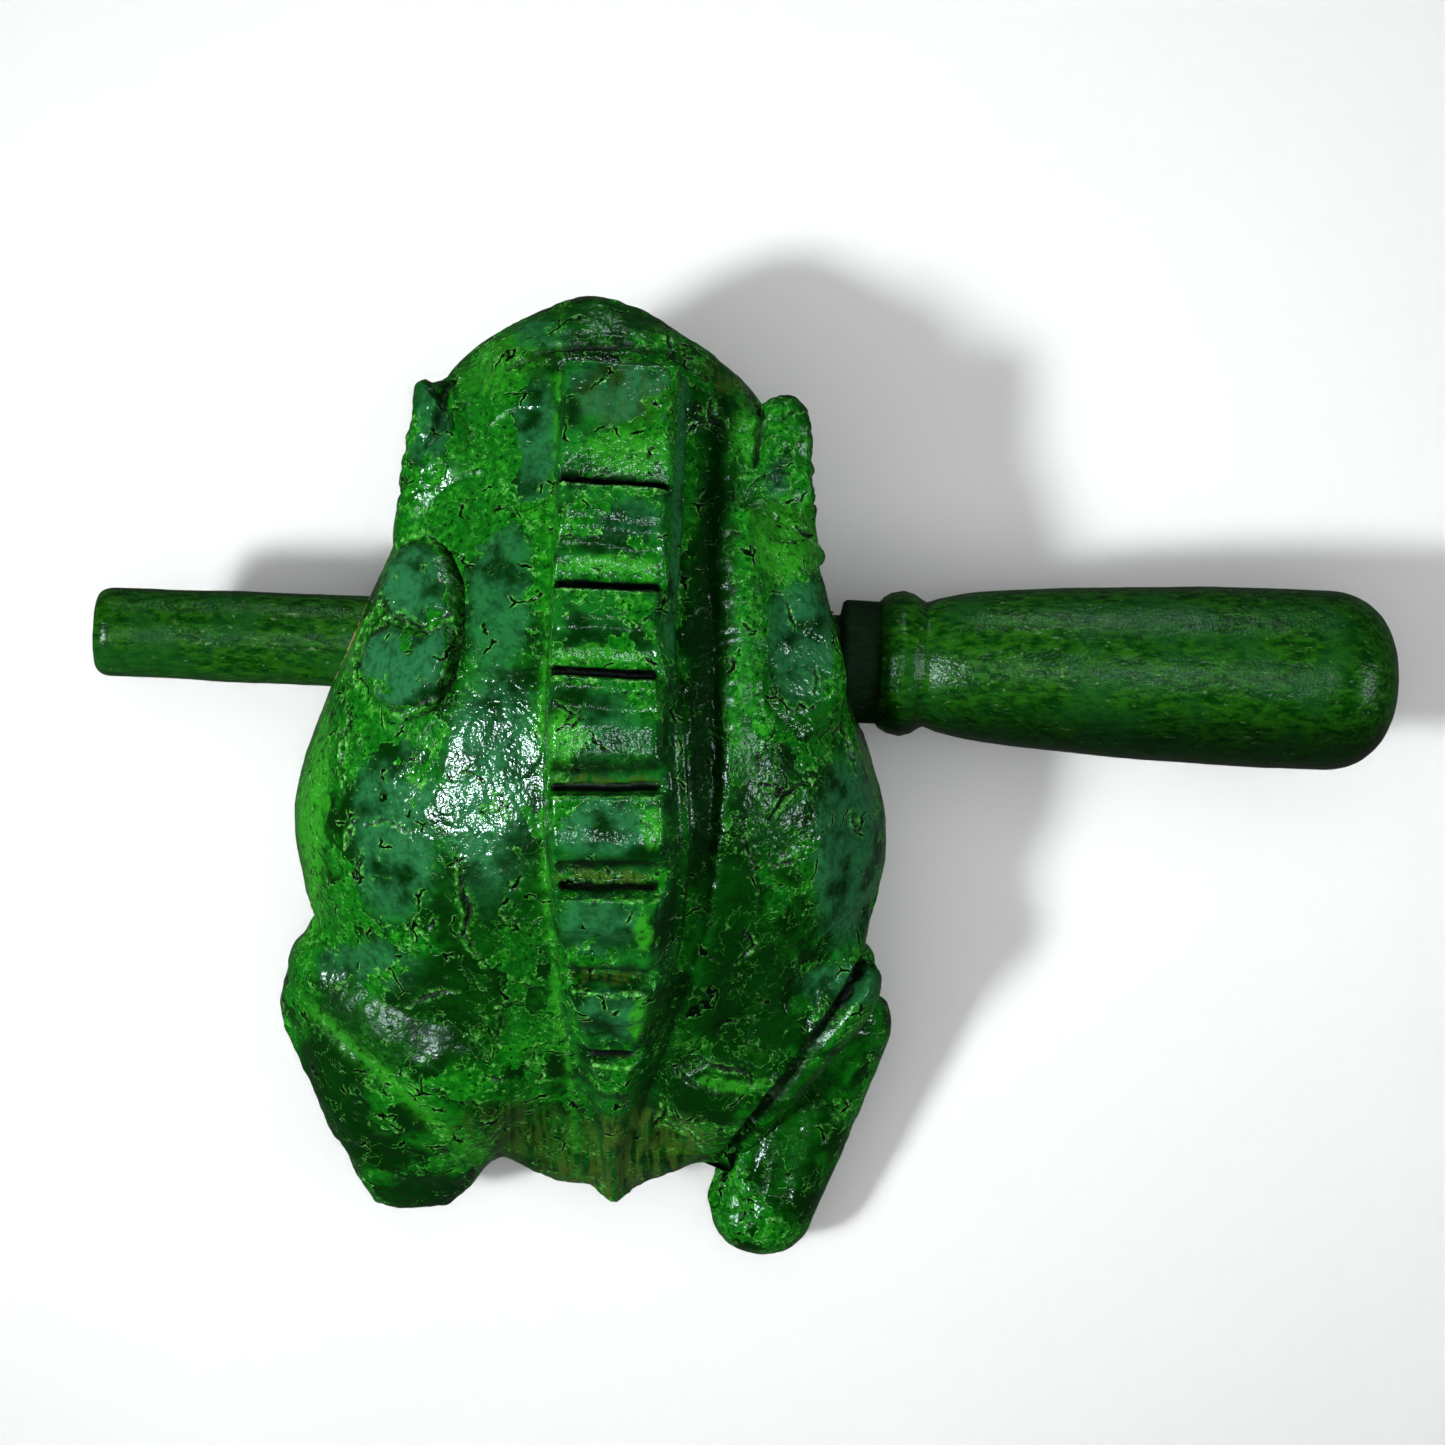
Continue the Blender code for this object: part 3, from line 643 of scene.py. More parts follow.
def write_points(mesh_data, points):
    mesh_data.vertices.foreach_set("co", points.reshape(-1))
    mesh_data.update()


def chisel(points, normals, outside):
    """Flat cuts: what stands above a plane just under the surface moves onto that plane."""
    random = np.random.default_rng(7)
    cuts = []
    for flat in FLATS:
        away = np.hypot(points[:, 0] - flat.x, points[:, 1] - flat.y)
        cuts.append((np.argmin(away - 0.05 * points[:, 2]), flat.depth, flat.reach))
    for i in random.choice(np.flatnonzero(outside > 0.9), CHISEL_CUTS, replace=False):
        cuts.append((i, random.uniform(0.08, 0.22), random.uniform(3.0, 5.5)))
    for i, depth, reach in cuts:
        near = np.linalg.norm(points - points[i], axis=1) < reach
        height = (points - points[i]) @ normals[i] + depth
        points -= np.outer(np.clip(height, 0, DEEPEST_CHISEL) * near * outside, normals[i])
    return points


CREST_SIDE_DEPTH = 4.5
CREST_FRONT_Y = 24.6


def measure_crest(points):
    """Which points are on the crest, how deep they are below its top, and how far past its edges."""
    y = points[:, 1]
    half = crest_at("half_width", y)
    from_centre = points[:, 0] - crest_at("drift", y)
    reach = half + np.where(from_centre > 0, at_y(RIGHT_FLARE, y), at_y(LEFT_FLARE, y)) + 0.15
    depth = crest_at("top", y) - points[:, 2]
    on_crest = (np.abs(from_centre) < reach) & (depth < CREST_SIDE_DEPTH) & (y < CREST_FRONT_Y)
    return on_crest, depth, from_centre, half


def tooth_relief(points, on_crest, from_centre, half):
    """Each tooth rises to a ridge behind its wall and dips after it, before the next slope."""
    wander = 0.5 * fractal(points * (1, 0, 0), 3.0, 101)
    ridges = np.zeros(len(points))
    dips = np.zeros(len(points))
    for notch in NOTCHES:
        along = notch.y + notch.tilt * points[:, 0] - points[:, 1] + wander - notch.ridge
        ridges += bell(along, 0.8)
        dips += bell(along - 1.7, 0.8)
    inside = on_crest * smoothstep(0.4, -0.6, np.abs(from_centre) - half)
    return ridges * inside, dips * inside


def kerf_masks(points, on_crest, depth, from_centre, half):
    """The black of the saw kerfs, painted shade; the pale line along each wall's top edge, painted light;
    and the dark steep slopes, painted shade.
    """
    black = np.zeros(len(points))
    line = np.zeros(len(points))
    steep = np.zeros(len(points))
    inside = on_crest * smoothstep(0.2, -0.3, np.abs(from_centre) - half)
    ragged = 0.35 * fractal(points, 1.3, 111)
    for notch in NOTCHES:
        along = notch.y + notch.tilt * points[:, 0] - points[:, 1] + ragged
        in_kerf = smoothstep(-notch.kerf - 0.35, -notch.kerf + 0.05, along) * smoothstep(0.25, -0.05, along)
        black = np.maximum(black, in_kerf * smoothstep(0.9, 1.7, depth))
        line = np.maximum(line, bell(along - 0.1, 0.22) * smoothstep(0.9, 0.3, depth))
        if notch.strip > 0:
            slope_middle = along + notch.kerf + notch.strip + 0.35 * notch.slope
            steep = np.maximum(steep, bell(slope_middle, 0.45 * notch.slope))
    return black * inside, line * inside, steep * inside


def paint_tones(flat, up, relief_masks):
    """One mask for each tone of the paint, and of the painted light and shade that some patches and given
    masks carry.
    """
    tones = {tone: np.zeros(len(flat)) for tone in TONES}
    for tone, patches in PATCHES.items():
        for patch in (Patch(*row) for row in patches):
            distance = np.hypot((flat[:, 0] - patch.x) / patch.half_x, (flat[:, 1] - patch.y) / patch.half_y)
            spread = patch.strength * smoothstep(1.35, 0.75, distance)
            tones[tone] = np.maximum(tones[tone], spread * up)
    for tone, mask in relief_masks:
        tones[tone] = np.maximum(tones[tone], mask)
    return tones


def carved_regions(points):
    """Where the wood is bare inside, where the mouth is, and which skin is outside and may be carved."""
    y, z = points[:, 1], points[:, 2]
    hollow = np.linalg.norm((points - CAVITY_CENTRE) / CAVITY_RADII, axis=1)
    in_bore = np.hypot(y, z - BORE_HEIGHT / MM) < BORE_RADIUS / MM + CUT_MARGIN
    low_lip, high_lip = (
        np.interp(y, [MOUTH_BACK_Y, MOUTH_FRONT_Y], ends) for ends in zip(MOUTH_BACK, MOUTH_FRONT)
    )
    in_mouth = (y > MOUTH_BACK_Y - 1) & (z > low_lip - CUT_MARGIN) & (z < high_lip + CUT_MARGIN)
    inner = (hollow < 1.03) | in_bore
    outside = np.where(inner | in_mouth | (z < BASE_MARGIN), 0.0, 1.0)
    return inner, in_mouth, outside


def off_trough(points):
    """Fades from 0 in the trough beside the crest to 1 away from it."""
    x, y = points[:, 0], points[:, 1]
    away = np.maximum(at_y(TROUGH_LEFT, y) - 2 - x, x - at_y(TROUGH_RIGHT, y))
    return np.maximum(smoothstep(0.0, 2.0, away), smoothstep(-30.0, -36.0, y))


def tapered(share, ends, middle):
    """A width along a mark, from one at its ends to a larger one in its middle."""
    return ends + middle * np.sin(np.pi * share)


def carved_marks(points, flat, jagged):
    """How far the marks on the top raise the skin, and a mask of each mark that the paint follows."""
    y = points[:, 1]
    marks = {name: np.zeros(len(points)) for name in ("crack_and_shade", "rim", *GROOVES)}

    right_edge, left_edge = at_y(TROUGH_RIGHT, y), at_y(TROUGH_LEFT, y)
    across = (jagged[:, 0] - left_edge) / (right_edge - left_edge)
    sink = at_y(TROUGH_DEPTH, y) * smoothstep(-0.1, 0.25, across) * smoothstep(1.12, 0.74, across)
    head_trough, _ = from_path(flat, HEAD_TROUGH)
    sink += HEAD_TROUGH_DEPTH * bell(head_trough, 1.5)
    crease, _ = from_path(flat, HAUNCH_CREASE)
    marks["crease"] = bell(crease, 0.7)
    sink += CREASE_DEPTH * marks["crease"]
    for name, groove in GROOVES.items():
        for path in groove.paths:
            distance, share = from_path(jagged if groove.ragged else flat, path)
            width = tapered(share, groove.ends, groove.middle)
            marks[name] = np.maximum(marks[name], smoothstep(groove.outer, groove.inner, distance / width))
        sink += groove.depth * marks[name]

    marks["pads"] = np.max([inside_outline(flat, pad) for pad in LEFT_PADS], axis=0)
    rise = PAD_RISE * smoothstep(-0.1, 0.9, marks["pads"])
    rise += ARM_RISE * smoothstep(-0.2, 0.9, inside_outline(flat, RIGHT_ARM))

    for (half_width, depth), paths in CRACKS.items():
        for path in paths:
            distance, share = from_path(jagged, path)
            width = half_width * tapered(np.clip(share, 0.04, 0.96), 0.45, 0.9)
            marks["crack_and_shade"] = np.maximum(marks["crack_and_shade"], smoothstep(1.3, 0.5, distance / width))
            marks["rim"] = np.maximum(marks["rim"], bell(distance - 1.9 * width, 1.1 * width))
            sink += depth * smoothstep(1.4, 0.3, distance / width)
    return rise + CRACK_RIM_RISE * marks["rim"] - sink, marks


def uneven_skin(points, x):
    """The lumps that the knife left: small all over, larger at the eyes, snout, tail and haunch."""
    y = points[:, 1]
    lumps = 0.14 * fractal(points, 3.2, 51) + 0.08 * fractal(points, 1.1, 61)
    at_eyes = smoothstep(12.5, 14.5, np.abs(points[:, 0])) * smoothstep(11.0, 13.0, y)
    at_eyes *= smoothstep(23.5, 21.5, y)
    lumps += 0.5 * at_eyes * fractal(points, 1.4, 141)
    lumps += 0.30 * smoothstep(22.0, 25.0, y) * fractal(points * (0.5, 1, 1), 1.4, 171)
    lumps += 0.10 * smoothstep(-32.0, -38.0, y) * fractal(points * (1, 0.18, 0.18), 0.7, 151)
    at_haunch = smoothstep(-21.0, -25.0, y) * smoothstep(-8.0, -11.0, points[:, 0])
    haunch = bell(np.hypot(x - HAUNCH_PLACE[0], y - HAUNCH_PLACE[1]), 5.0)
    return lumps + at_haunch * (0.32 * fractal(points, 2.6, 191) + 0.8 * haunch)


def sculpt(mesh_data):
    """Carves the skin's features, and returns masks in 0..1 for the paint."""
    points = read_vertices(mesh_data, "co") / MM
    normals = read_vertices(mesh_data, "normal")
    y, z = points[:, 1], points[:, 2]
    inner, in_mouth, outside = carved_regions(points)
    on_crest, depth, from_centre, half = measure_crest(points)
    points = chisel(points, normals, np.where(on_crest, 0.0, outside * off_trough(points)))
    write_points(mesh_data, points * MM)
    normals = read_vertices(mesh_data, "normal")
    up = smoothstep(0.05, 0.35, normals[:, 2]) * outside * smoothstep(3.0, 6.0, z)
    body_up = up * ~on_crest

    warp = np.stack([fractal(points, 1.4, 11 + k) for k in range(3)], axis=1)
    flat = points[:, :2] + 0.10 * warp[:, :2]
    jagged = points[:, :2] + 0.32 * np.stack([fractal(points, 0.9, 31 + k) for k in range(2)], axis=1)
    relief, marks = carved_marks(points, flat, jagged)
    skin = outside * uneven_skin(points, flat[:, 0]) * np.where(on_crest, 0.5, 1.0)
    wood = inner * 0.10 * fractal(points * (1, 0.3, 1), 0.8, 71)
    ridges, dips = tooth_relief(points, on_crest, from_centre, half)
    kerf, wall_line, steep = kerf_masks(points, on_crest, depth, from_centre, half)
    from_edge = from_centre - half - at_y(RIGHT_FLARE, y)
    edge_lip = bell(from_edge + 0.1, 0.3) * smoothstep(-3.0, -8.0, y) * smoothstep(-27.0, -22.0, y)
    offset = skin + wood + RIDGE_RISE * ridges - DIP_DEPTH * dips + body_up * relief
    offset += EDGE_LIP_RISE * outside * edge_lip * (depth < CREST_SIDE_DEPTH)
    points = points + normals * offset[:, None]
    points[:, 1] += on_crest * 0.16 * fractal(points, 2.2, 181)
    points[:, 2] = np.maximum(points[:, 2], 0.0)
    write_points(mesh_data, points * MM)

    from_pads = marks["pads"]
    pad_rim = 0.6 * bell(from_pads + 0.45, 0.30) * body_up
    pad_edge = bell(from_pads + 0.05, 0.16) * smoothstep(-0.25, 0.1, fractal(points, 1.5, 131)) * body_up
    ledge = bell(from_centre + half + at_y(LEFT_FLARE, y) + 0.25, 0.35) * up
    bevel = on_crest * smoothstep(0.3, 0.7, from_centre - half)
    masks = paint_tones(points[:, :2] + 0.8 * warp[:, :2], up, [
        ("teal", smoothstep(0.0, 0.5, from_pads) * body_up),
        ("lime", 0.7 * marks["crease"] * body_up),
        ("lime", 0.7 * ledge * smoothstep(-0.35, 0.15, fractal(points, 1.6, 121))),
        # The crest's right bevel: painted shade on its rear part, which faces away from the light, and
        # painted light in teal on its front part.
        ("dark", 0.7 * bevel * smoothstep(2.0, -4.0, y)),
        ("teal", 0.8 * bevel * smoothstep(-4.0, 2.0, y)),
        # Painted shade in the dip behind each tooth's ridge.
        ("dark", 2.6 * DIP_DEPTH * dips * smoothstep(-0.4, 0.2, fractal(points, 2.0, 161))),
        ("teal", 0.15 * on_crest * up),
    ])
    from_pupil = np.hypot(y - PUPIL_Y, z - PUPIL_Z) / PUPIL_RADIUS
    pupil = smoothstep(1.1, 0.9, from_pupil) * (np.abs(points[:, 0]) > PUPIL_INSIDE)
    # Black: the cracks, the cracks round the pads and the pupils, which are paint, and painted shade in the
    # gap beside the pads, in the shin, lip and eye grooves, in the saw kerfs and on the steep slopes.
    grooves = body_up * np.maximum.reduce([
        marks["crack_and_shade"], marks["pad_gap"], 0.9 * marks["shin"], 0.5 * marks["lip"], 0.6 * marks["eyes"],
    ])
    black = np.maximum.reduce([grooves, 0.9 * pad_edge, 0.8 * steep, kerf, pupil])
    masks["crack_and_shade"] = np.clip(black, 0, 1)
    # Pale rims of the cracks and pads, and along each wall's top edge a pale line of painted light.
    masks["rim"] = np.clip(np.maximum.reduce([marks["rim"] * body_up, pad_rim, wall_line]), 0, 1)
    masks["bare"] = np.where(inner & ~in_mouth, 1.0, 0.0)
    return masks


def store_masks(mesh_data, masks):
    for name, values in masks.items():
        attribute = mesh_data.attributes.new(name, "FLOAT", "POINT")
        attribute.data.foreach_set("value", np.asarray(values, np.float32))


# The stick's outline in mm, from its thin tip to the end of its handle

TIP_X = STICK_LOW.x / MM
END_X = STICK_HIGH.x / MM
TIP_LENGTH, TIP_RADIUS, TIP_EDGE = 1.4, 2.9, 1.0
SHAFT = [(TIP_X + TIP_LENGTH, 3.9), (-30, 4), (0, 4), (20.7, 4)]
NECK = [(20.95, 5.15), (21.3, 5.4), (24.1, 5.35)]
BEAD = [(24.35, 5.7), (25.1, 6.15), (26.2, 6.37), (27.2, 6.1), (27.9, 5.6)]
HANDLE = [
    (28.25, 5.45), (28.8, 5.62), (29.6, 5.9), (33, 6.54), (40, 7.15), (50, 7.68), (58, 7.88), (62.6, 7.86),
]
HANDLE_END_SQUARENESS = 2.35
HANDLE_END_RADIUS = 0.4
RING_GAP = 0.3
STICK_SEGMENTS = 96
STICK_THINNING = 0.04
IN_HOLE = (-20.0, 21.3)
StickPoint = namedtuple("StickPoint", "x radius")


def stick_outline():
    """(x, radius) pairs in mm, close together, with round ends."""
    tip = []
    for angle in np.linspace(0, 1.5, 7):
        x = TIP_X + TIP_LENGTH - TIP_LENGTH * math.cos(angle)
        tip.append((x, TIP_RADIUS + TIP_EDGE * math.sin(angle)))
    body = SHAFT + NECK + BEAD + HANDLE
    fine = []
    for (start, _), (end, _) in zip(body, body[1:]):
        count = max(2, int((end - start) / RING_GAP))
        fine += list(np.linspace(start, end, count, endpoint=False))
    smooth = spline([StickPoint(*point) for point in HANDLE], 12)
    handle_x, handle_radius = HANDLE[-1]
    radii = np.interp(fine, *zip(*body))
    radii = np.where(np.array(fine) > HANDLE[0][0], np.interp(fine, *zip(*smooth)), radii)
    round_end = []
    for share in np.sin(np.linspace(0, math.pi / 2, 26)):
        radius = handle_radius * (1 - share**HANDLE_END_SQUARENESS) ** (1 / HANDLE_END_SQUARENESS)
        round_end.append((handle_x + (END_X - handle_x) * share, max(radius, HANDLE_END_RADIUS)))
    return tip + list(zip(fine, radii)) + round_end


def stick_mesh():
    angles = [2 * math.pi * i / STICK_SEGMENTS for i in range(STICK_SEGMENTS)]
    rings = [
        [(x, radius * math.cos(angle), radius * math.sin(angle)) for angle in angles]
        for x, radius in stick_outline()
    ]
    mesh_data = lofted("stick_skin", [rings])
    points = read_vertices(mesh_data, "co") / MM
    normals = read_vertices(mesh_data, "normal")
    streaks = 0.035 * fractal(points * (0.12, 1, 1), 0.9, 81)
    dents = 0.05 * fractal(points, 4.0, 91, 2) + 0.02 * fractal(points, 0.7, 95, 2)
    in_hole = (points[:, 0] > IN_HOLE[0]) & (points[:, 0] < IN_HOLE[1])
    relief = np.where(in_hole, 0.2, 1.0) * (streaks + dents) - STICK_THINNING
    points += normals * relief[:, None]
    points[:, 2] += BORE_HEIGHT / MM
    write_points(mesh_data, points * MM)
    return mesh_data


# Materials


class Nodes:
    """A thin layer over a material's node tree, to write its graph as expressions."""

    def __init__(self, name):
        self.material = bpy.data.materials.new(name)
        self.material.use_nodes = True
        self.tree = self.material.node_tree
        self.shader = self.tree.nodes["Principled BSDF"]
        self.place = self.node("ShaderNodeTexCoord", {}, "Object")

    def node(self, kind, inputs, output=0, **settings):
        """Adds a node with these settings and inputs, and gives one of its outputs."""
        node = self.tree.nodes.new(kind)
        for name, value in settings.items():
            setattr(node, name, value)
        for name, value in inputs.items():
            self.put(node.inputs[name], value)
        return node.outputs[output]

    def put(self, socket, value):
        if isinstance(value, bpy.types.NodeSocket):
            self.tree.links.new(value, socket)
        else:
            socket.default_value = value

    def math(self, operation, *values):
        return self.node("ShaderNodeMath", dict(enumerate(values)), operation=operation)

    times = partialmethod(math, "MULTIPLY")
    plus = partialmethod(math, "ADD")
    minus = partialmethod(math, "SUBTRACT")
    larger = partialmethod(math, "MAXIMUM")

    def mix(self, share, first, second):
        return self.node("ShaderNodeMix", {"Factor": share, 6: first, 7: second}, 2, data_type="RGBA")

    def coats(self, colour, *layers):
        """The colour with each (share, colour) laid over it in turn."""
        for share, coat in layers:
            colour = self.mix(share, colour, coat)
        return colour

    def ramp(self, value, low, high):
        inputs = {"Value": value, "From Min": low, "From Max": high}
        return self.node("ShaderNodeMapRange", inputs, "Result", interpolation_type="SMOOTHSTEP")

    def stretched(self, *scale):
        return self.node("ShaderNodeMapping", {"Vector": self.place, "Scale": scale}, "Vector")

    def warped(self, size, amount):
        """The place pushed about by noise of the given size, by up to amount metres."""
        push = self.node("ShaderNodeTexNoise", {"Vector": self.place, "Scale": 1 / size}, "Color")
        inputs = {0: push, 1: (amount * 2,) * 3, 2: self.place}
        return self.node("ShaderNodeVectorMath", inputs, operation="MULTIPLY_ADD")

    def noise(self, size, detail=2.0, roughness=0.5, place=None):
        inputs = {"Vector": place or self.place, "Scale": 1 / size, "Detail": detail, "Roughness": roughness}
        return self.node("ShaderNodeTexNoise", inputs, "Fac")

    def cell_edges(self, size, place):
        inputs = {"Vector": place, "Scale": 1 / size}
        return self.node("ShaderNodeTexVoronoi", inputs, "Distance", feature="DISTANCE_TO_EDGE")

    def attribute(self, name):
        return self.node("ShaderNodeAttribute", {}, "Fac", attribute_name=name)

    def bump(self, height, distance, under=None):
        inputs = {"Height": height, "Distance": distance}
        if under:
            inputs["Normal"] = under
        return self.node("ShaderNodeBump", inputs, "Normal")

    def finish(self, **inputs):
        for name, value in inputs.items():
            self.put(self.shader.inputs[name.replace("_", " ")], value)
        return self.material

    def finish_paint(self, colour, roughness, normal, shine):
        shine = {"Specular_Tint": SHEEN_TINT, "Specular_IOR_Level": shine}
        return self.finish(Base_Color=colour, Roughness=roughness, Normal=normal, **shine)


DEEP_GREEN = (0.0003, 0.012, 0.0003, 1)
LEAF_GREEN = (0.0024, 0.080, 0.0026, 1)
TEAL_GREEN = (0.011, 0.082, 0.027, 1)
LIME_GREEN = (0.014, 0.152, 0.006, 1)
PALE_LIME = (0.11, 0.36, 0.07, 1)
# Black for the cracks, and for painted shade in the kerfs, grooves and steep slopes and on the stick's neck
# and shaded side.
CRACK_AND_SHADE_BLACK = (0.0002, 0.0016, 0.0002, 1)
OLIVE_GREEN = (0.023, 0.055, 0.005, 1)
BARE_WOOD = (0.30, 0.19, 0.09, 1)
DARK_GRAIN = (0.15, 0.085, 0.035, 1)
SHEEN_TINT = (0.82, 1.0, 1.0, 1)
STICK_DARK = (0.0006, 0.018, 0.0005, 1)
STICK_GREEN = (0.0085, 0.060, 0.0022, 1)
STICK_TEAL = (0.004, 0.040, 0.006, 1)
STICK_FLECK = (0.12, 0.20, 0.09, 1)
FLOOR_GREY = (0.177, 0.177, 0.174, 1)
FLOOR_PALE = (0.186, 0.186, 0.183, 1)


def flake_field(n, mottle, teal, dark):
    """A smooth field that is above 0.5 on whole flakes of paint, and below it where they are gone."""
    broad = n.noise(6 * MM, 2.0)
    ragged = n.noise(1.3 * MM, 3.0, 0.6)
    field = n.plus(broad, n.times(n.minus(ragged, 0.5), 0.45))
    whole = n.times(n.larger(teal, dark), 0.17)
    field = n.plus(field, whole)
    return n.minus(field, n.times(mottle, 0.22))


def hairline_cracks(n):
    """Short black cracks: the edges of warped cells, broken up by a finer noise."""
    place = n.warped(1.1 * MM, 0.55 * MM)
    edges = n.cell_edges(3.4 * MM, place)
    broken = n.ramp(n.noise(2.4 * MM, 2.0), 0.58, 0.63)
    core = n.times(n.ramp(edges, 0.040, 0.018), broken)
    rims = n.times(n.ramp(edges, 0.085, 0.045), broken)
    return core, rims


def crackled_paint():
    n = Nodes("crackled_green_paint")
    teal, dark, lime, mottle, olive = (n.attribute(tone) for tone in TONES)
    crack_and_shade, rim, bare = (n.attribute(name) for name in ("crack_and_shade", "rim", "bare"))
    cloud = n.noise(3.5 * MM, 3.0, 0.6)
    speck = n.noise(0.7 * MM, 3.0, 0.65)
    spots = n.noise(0.42 * MM, 2.0, 0.5)
    pebbles = n.noise(0.42 * MM, 1.0, 0.5)
    field = flake_field(n, mottle, teal, dark)
    flake = n.ramp(field, 0.480, 0.505)
    flake_edge = n.ramp(n.math("ABSOLUTE", n.minus(field, 0.482)), 0.020, 0.004)
    flake_line = n.times(flake_edge, n.ramp(n.noise(1.9 * MM), 0.44, 0.56))

    stripes = n.noise(0.55 * MM, 2.0, place=n.stretched(1.0, 0.14, 0.14))
    limy = n.ramp(n.plus(speck, n.times(cloud, 0.5)), 0.77, 0.98)
    on_flake = n.coats(
        DEEP_GREEN,
        (n.ramp(cloud, 0.40, 0.64), LEAF_GREEN),
        (n.times(teal, n.ramp(cloud, 0.30, 0.55)), TEAL_GREEN),
        (n.times(dark, 0.9), DEEP_GREEN),
    )
    off_flake = n.coats(
        LEAF_GREEN,
        (limy, LIME_GREEN),
        (n.ramp(spots, 0.40, 0.32), DEEP_GREEN),
        (n.times(dark, 0.85), DEEP_GREEN),
    )
    colour = n.coats(
        off_flake,
        (flake, on_flake),
        (n.times(n.ramp(speck, 0.56, 0.36), 0.45), DEEP_GREEN),
        (n.times(lime, n.ramp(speck, 0.30, 0.52)), LIME_GREEN),
        (n.times(olive, n.ramp(stripes, 0.62, 0.42)), OLIVE_GREEN),
    )
    vein_field = n.noise(1.5 * MM, 3.0, 0.6, n.warped(2.0 * MM, 0.5 * MM))
    veins = n.ramp(n.math("ABSOLUTE", n.minus(vein_field, 0.5)), 0.018, 0.004)
    veins = n.times(veins, n.ramp(n.noise(2.6 * MM), 0.46, 0.58))
    core, rims = hairline_cracks(n)
    pale_line = n.larger(n.times(flake_line, 0.6), n.times(rims, 0.55))
    veins = n.times(veins, n.minus(1.0, teal))
    pale_line = n.larger(pale_line, n.times(veins, 0.5))
    # The rims include the pale line of painted light along each notch wall's top edge.
    pale_line = n.larger(pale_line, n.times(rim, n.ramp(speck, 0.42, 0.58)))
    pale_line = n.times(pale_line, n.minus(1.0, n.times(dark, 0.5)))
    line_colour = n.mix(n.ramp(spots, 0.45, 0.62), LIME_GREEN, PALE_LIME)
    wood = n.mix(n.noise(0.6 * MM, 3.0, place=n.stretched(1.0, 0.12, 1.0)), DARK_GRAIN, BARE_WOOD)
    # The cracks go black, and so does the painted shade in the kerfs, grooves and steep slopes.
    colour = n.coats(colour, (pale_line, line_colour), (n.larger(crack_and_shade, core), CRACK_AND_SHADE_BLACK), (bare, wood))

    gloss = n.plus(0.07, n.times(speck, 0.17))
    gloss = n.plus(gloss, n.times(dark, 0.07))
    gloss = n.plus(gloss, n.times(mottle, 0.15))
    gloss = n.plus(gloss, n.times(n.larger(bare, crack_and_shade), 0.40))
    fine = n.bump(pebbles, 0.068 * MM)
    skin = n.bump(speck, 0.04 * MM, under=fine)
    flakes = n.bump(flake, 0.06 * MM, under=skin)
    normal = n.bump(n.minus(1.0, core), 0.15 * MM, under=flakes)
    return n.finish_paint(colour, gloss, normal, 0.15)


def stick_paint():
    n = Nodes("stick_green_paint")
    streak = n.noise(0.62 * MM, 4.0, 0.7, place=n.stretched(0.42, 1.0, 1.0))
    cloud = n.noise(5 * MM, 3.0, 0.6)
    colour = n.mix(n.ramp(streak, 0.38, 0.64), STICK_DARK, STICK_GREEN)
    colour = n.mix(n.times(n.ramp(cloud, 0.44, 0.60), 0.55), colour, STICK_TEAL)
    fleck = n.ramp(n.noise(0.45 * MM, 2.0, 0.5, place=n.stretched(0.5, 1.0, 1.0)), 0.66, 0.74)
    colour = n.mix(n.times(fleck, 0.35), colour, STICK_FLECK)
    x, y = (n.node("ShaderNodeSeparateXYZ", {0: n.place}, axis) for axis in "XY")
    # Painted shade: the narrow neck goes nearly black, and so does the handle's side towards -Y, darker
    # there because of how the light falls.
    on_neck = n.times(n.ramp(x, 20.0 * MM, 20.5 * MM), n.ramp(x, 24.5 * MM, 24.1 * MM))
    shaded_side = n.times(n.ramp(y, -1.5 * MM, -6.0 * MM), n.ramp(x, 18.0 * MM, 22.0 * MM))
    colour = n.mix(n.times(n.larger(on_neck, shaded_side), 0.8), colour, CRACK_AND_SHADE_BLACK)
    gloss = n.plus(0.10, n.times(streak, 0.16))
    gloss = n.plus(gloss, n.times(on_neck, 0.5))
    fine = n.bump(n.noise(0.33 * MM, 2.0), 0.055 * MM)
    normal = n.bump(streak, 0.09 * MM, under=fine)
    return n.finish_paint(colour, gloss, normal, 0.11)


def floor_material():
    n = Nodes("pale_floor")
    return n.finish(Base_Color=n.mix(n.noise(50 * MM, 2.0), FLOOR_GREY, FLOOR_PALE), Roughness=0.75)


# Pieces


def make_frog():
    mesh_data = rough_frog()
    masks = sculpt(mesh_data)
    store_masks(mesh_data, masks)
    mesh_data.materials.clear()
    mesh_data.materials.append(crackled_paint())
    mesh_data.shade_smooth()
    frog = add_object("painted_frog", mesh_data)
    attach(frog, "frog")
    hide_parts("frog_body")


def make_stick():
    mesh_data = stick_mesh()
    mesh_data.materials.append(stick_paint())
    mesh_data.shade_smooth()
    stick = add_object("painted_stick", mesh_data)
    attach(stick, "stick")
    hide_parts("striker_stick")


# Stage

CAMERA_HEIGHT = 0.400
VIEW_WIDTH = 1445 / 11500
CAMERA_X = 10.65 * MM
CAMERA_Y = -6.2 * MM
CAMERA_TURN = math.radians(2.3)


def make_camera():
    data = bpy.data.cameras.new("camera")
    data.sensor_width = 36
    data.lens = data.sensor_width * CAMERA_HEIGHT / VIEW_WIDTH
    data.clip_start = 0.01
    data.clip_end = 20
    camera = bpy.data.objects.new("camera", data)
    bpy.context.scene.collection.objects.link(camera)
    turn = Matrix.Rotation(CAMERA_TURN, 4, "Z")
    camera.matrix_world = turn @ Matrix.Translation((CAMERA_X, CAMERA_Y, BORE_HEIGHT + CAMERA_HEIGHT))
    bpy.context.scene.camera = camera


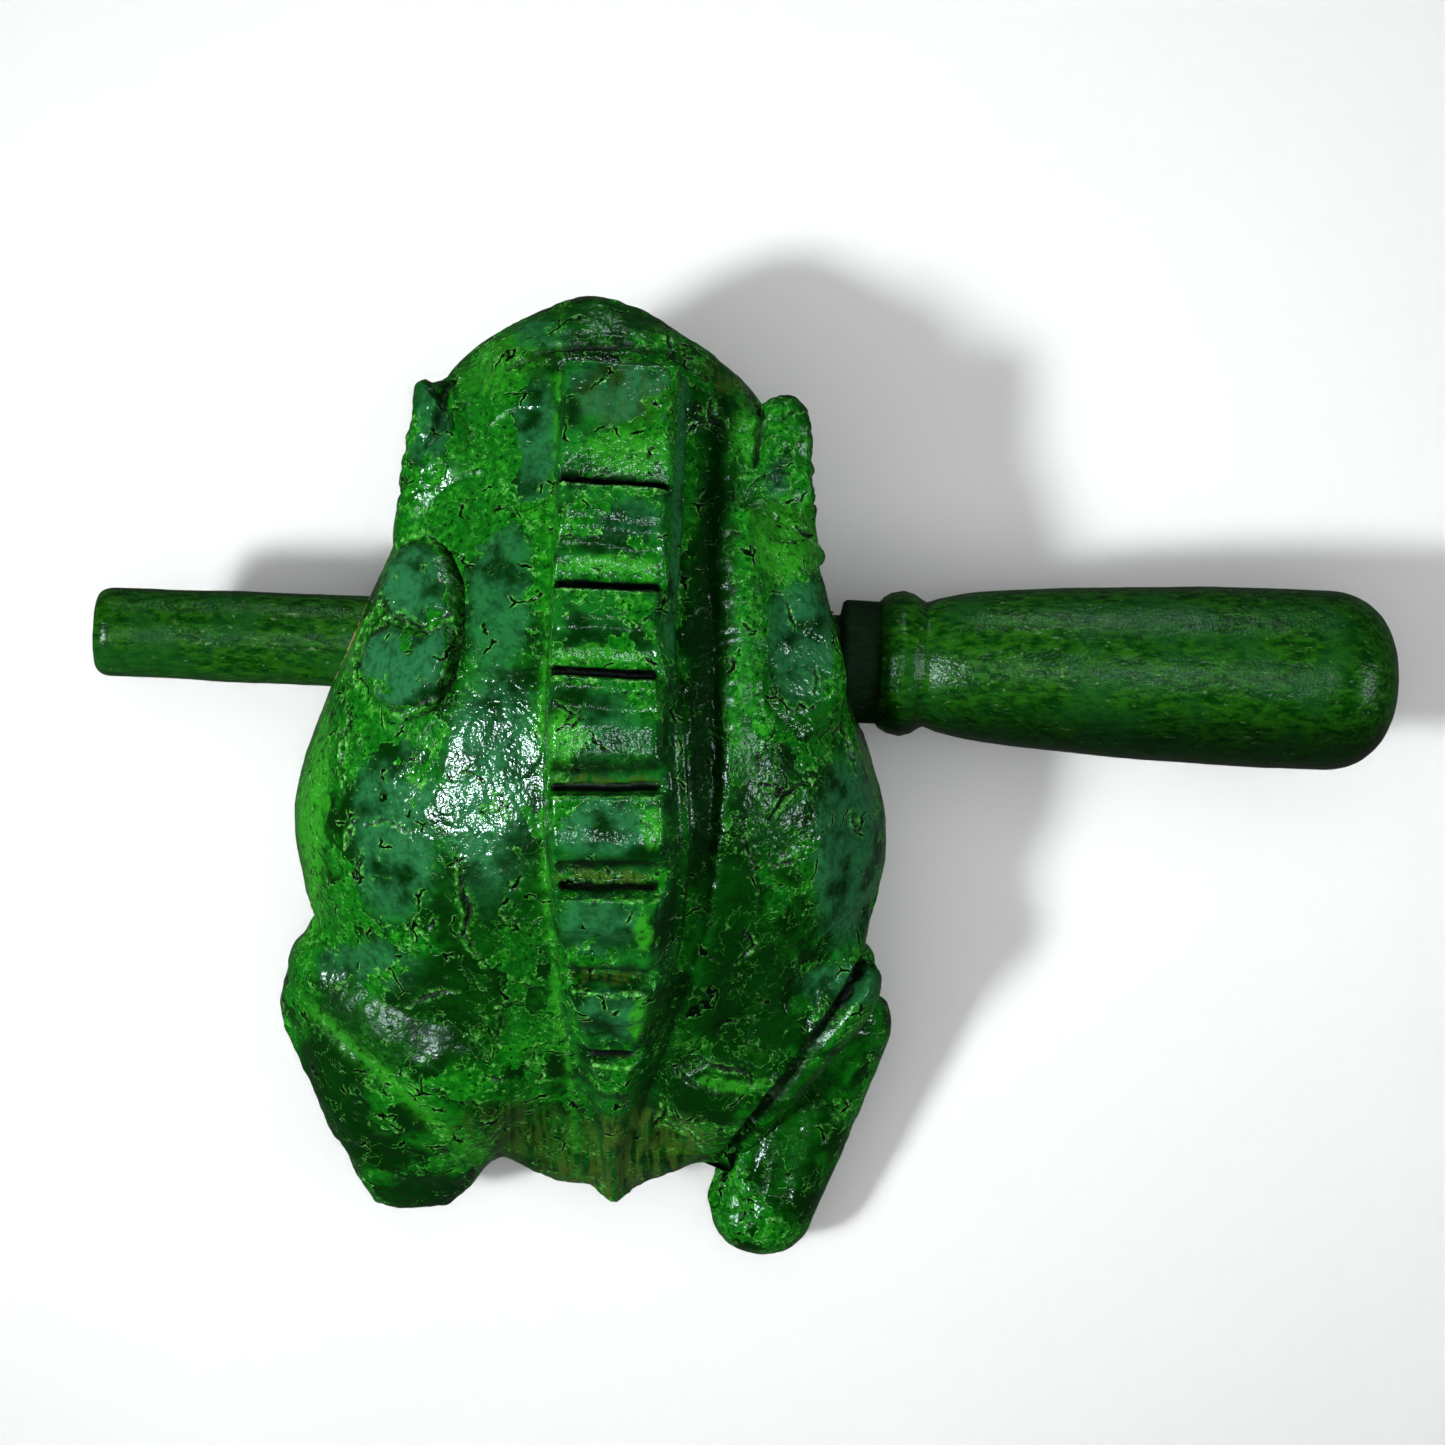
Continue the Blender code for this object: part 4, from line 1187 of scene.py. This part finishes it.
def make_floor():
    shape = bmesh.new()
    bmesh.ops.create_grid(shape, x_segments=8, y_segments=8, size=3.0)
    mesh_data = finish_mesh("floor", shape)
    mesh_data.materials.append(floor_material())
    floor = add_object("floor", mesh_data)
    floor.location.z = FROG_LOW.z
    floor.visible_glossy = False
    return floor


# Each softbox: its place, its width, its power, and the spread of its beam in degrees.
Softbox = namedtuple("Softbox", "name place size power spread")
SOFTBOXES = [
    Softbox("key", (-0.50, -0.19, 0.70), 0.15, 0.33, 24),
    Softbox("top", (0.06, -0.02, 0.95), 0.16, 0.044, 20),
    Softbox("side", (0.80, -0.06, 0.42), 0.18, 0.14, 30),
    Softbox("back", (0.02, 0.94, 0.32), 0.12, 0.03, 20),
]
SOFTBOX_TINT = (0.95, 0.99, 1.0)
FLOOR_SUN = 5.4
FLOOR_SUN_ANGLE = math.radians(60)
SKY_TINT = (0.95, 0.97, 1.0, 1)
SKY_STRENGTH = 0.07


def add_lamp(name, data):
    lamp = bpy.data.objects.new(name, data)
    bpy.context.scene.collection.objects.link(lamp)
    return lamp


def make_softbox(box):
    """A round softbox that points at the middle of the frog, with a grid that narrows its beam."""
    data = bpy.data.lights.new(box.name, "AREA")
    data.shape = "DISK"
    data.size = box.size
    data.energy = box.power
    data.spread = math.radians(box.spread)
    data.color = SOFTBOX_TINT
    lamp = add_lamp(box.name, data)
    lamp.location = box.place
    lamp.rotation_euler = (-lamp.location).to_track_quat("-Z", "Y").to_euler()




def make_floor_light(floor):
    """A lamp that lights the floor alone, so that it stays pale in the shadows and far away."""
    data = bpy.data.lights.new("floor_light", "SUN")
    data.energy = FLOOR_SUN
    data.angle = FLOOR_SUN_ANGLE
    lit = bpy.data.collections.new("lit_by_floor_light")
    lit.objects.link(floor)
    add_lamp("floor_light", data).light_linking.receiver_collection = lit


def make_lights():
    for box in SOFTBOXES:
        make_softbox(box)
    world = bpy.data.worlds.new("studio")
    world.use_nodes = True
    background = world.node_tree.nodes["Background"]
    background.inputs["Color"].default_value = SKY_TINT
    background.inputs["Strength"].default_value = SKY_STRENGTH
    bpy.context.scene.world = world
    bpy.context.scene.view_settings.view_transform = "Standard"


make_camera()
make_frog()
make_stick()
make_floor_light(make_floor())
make_lights()
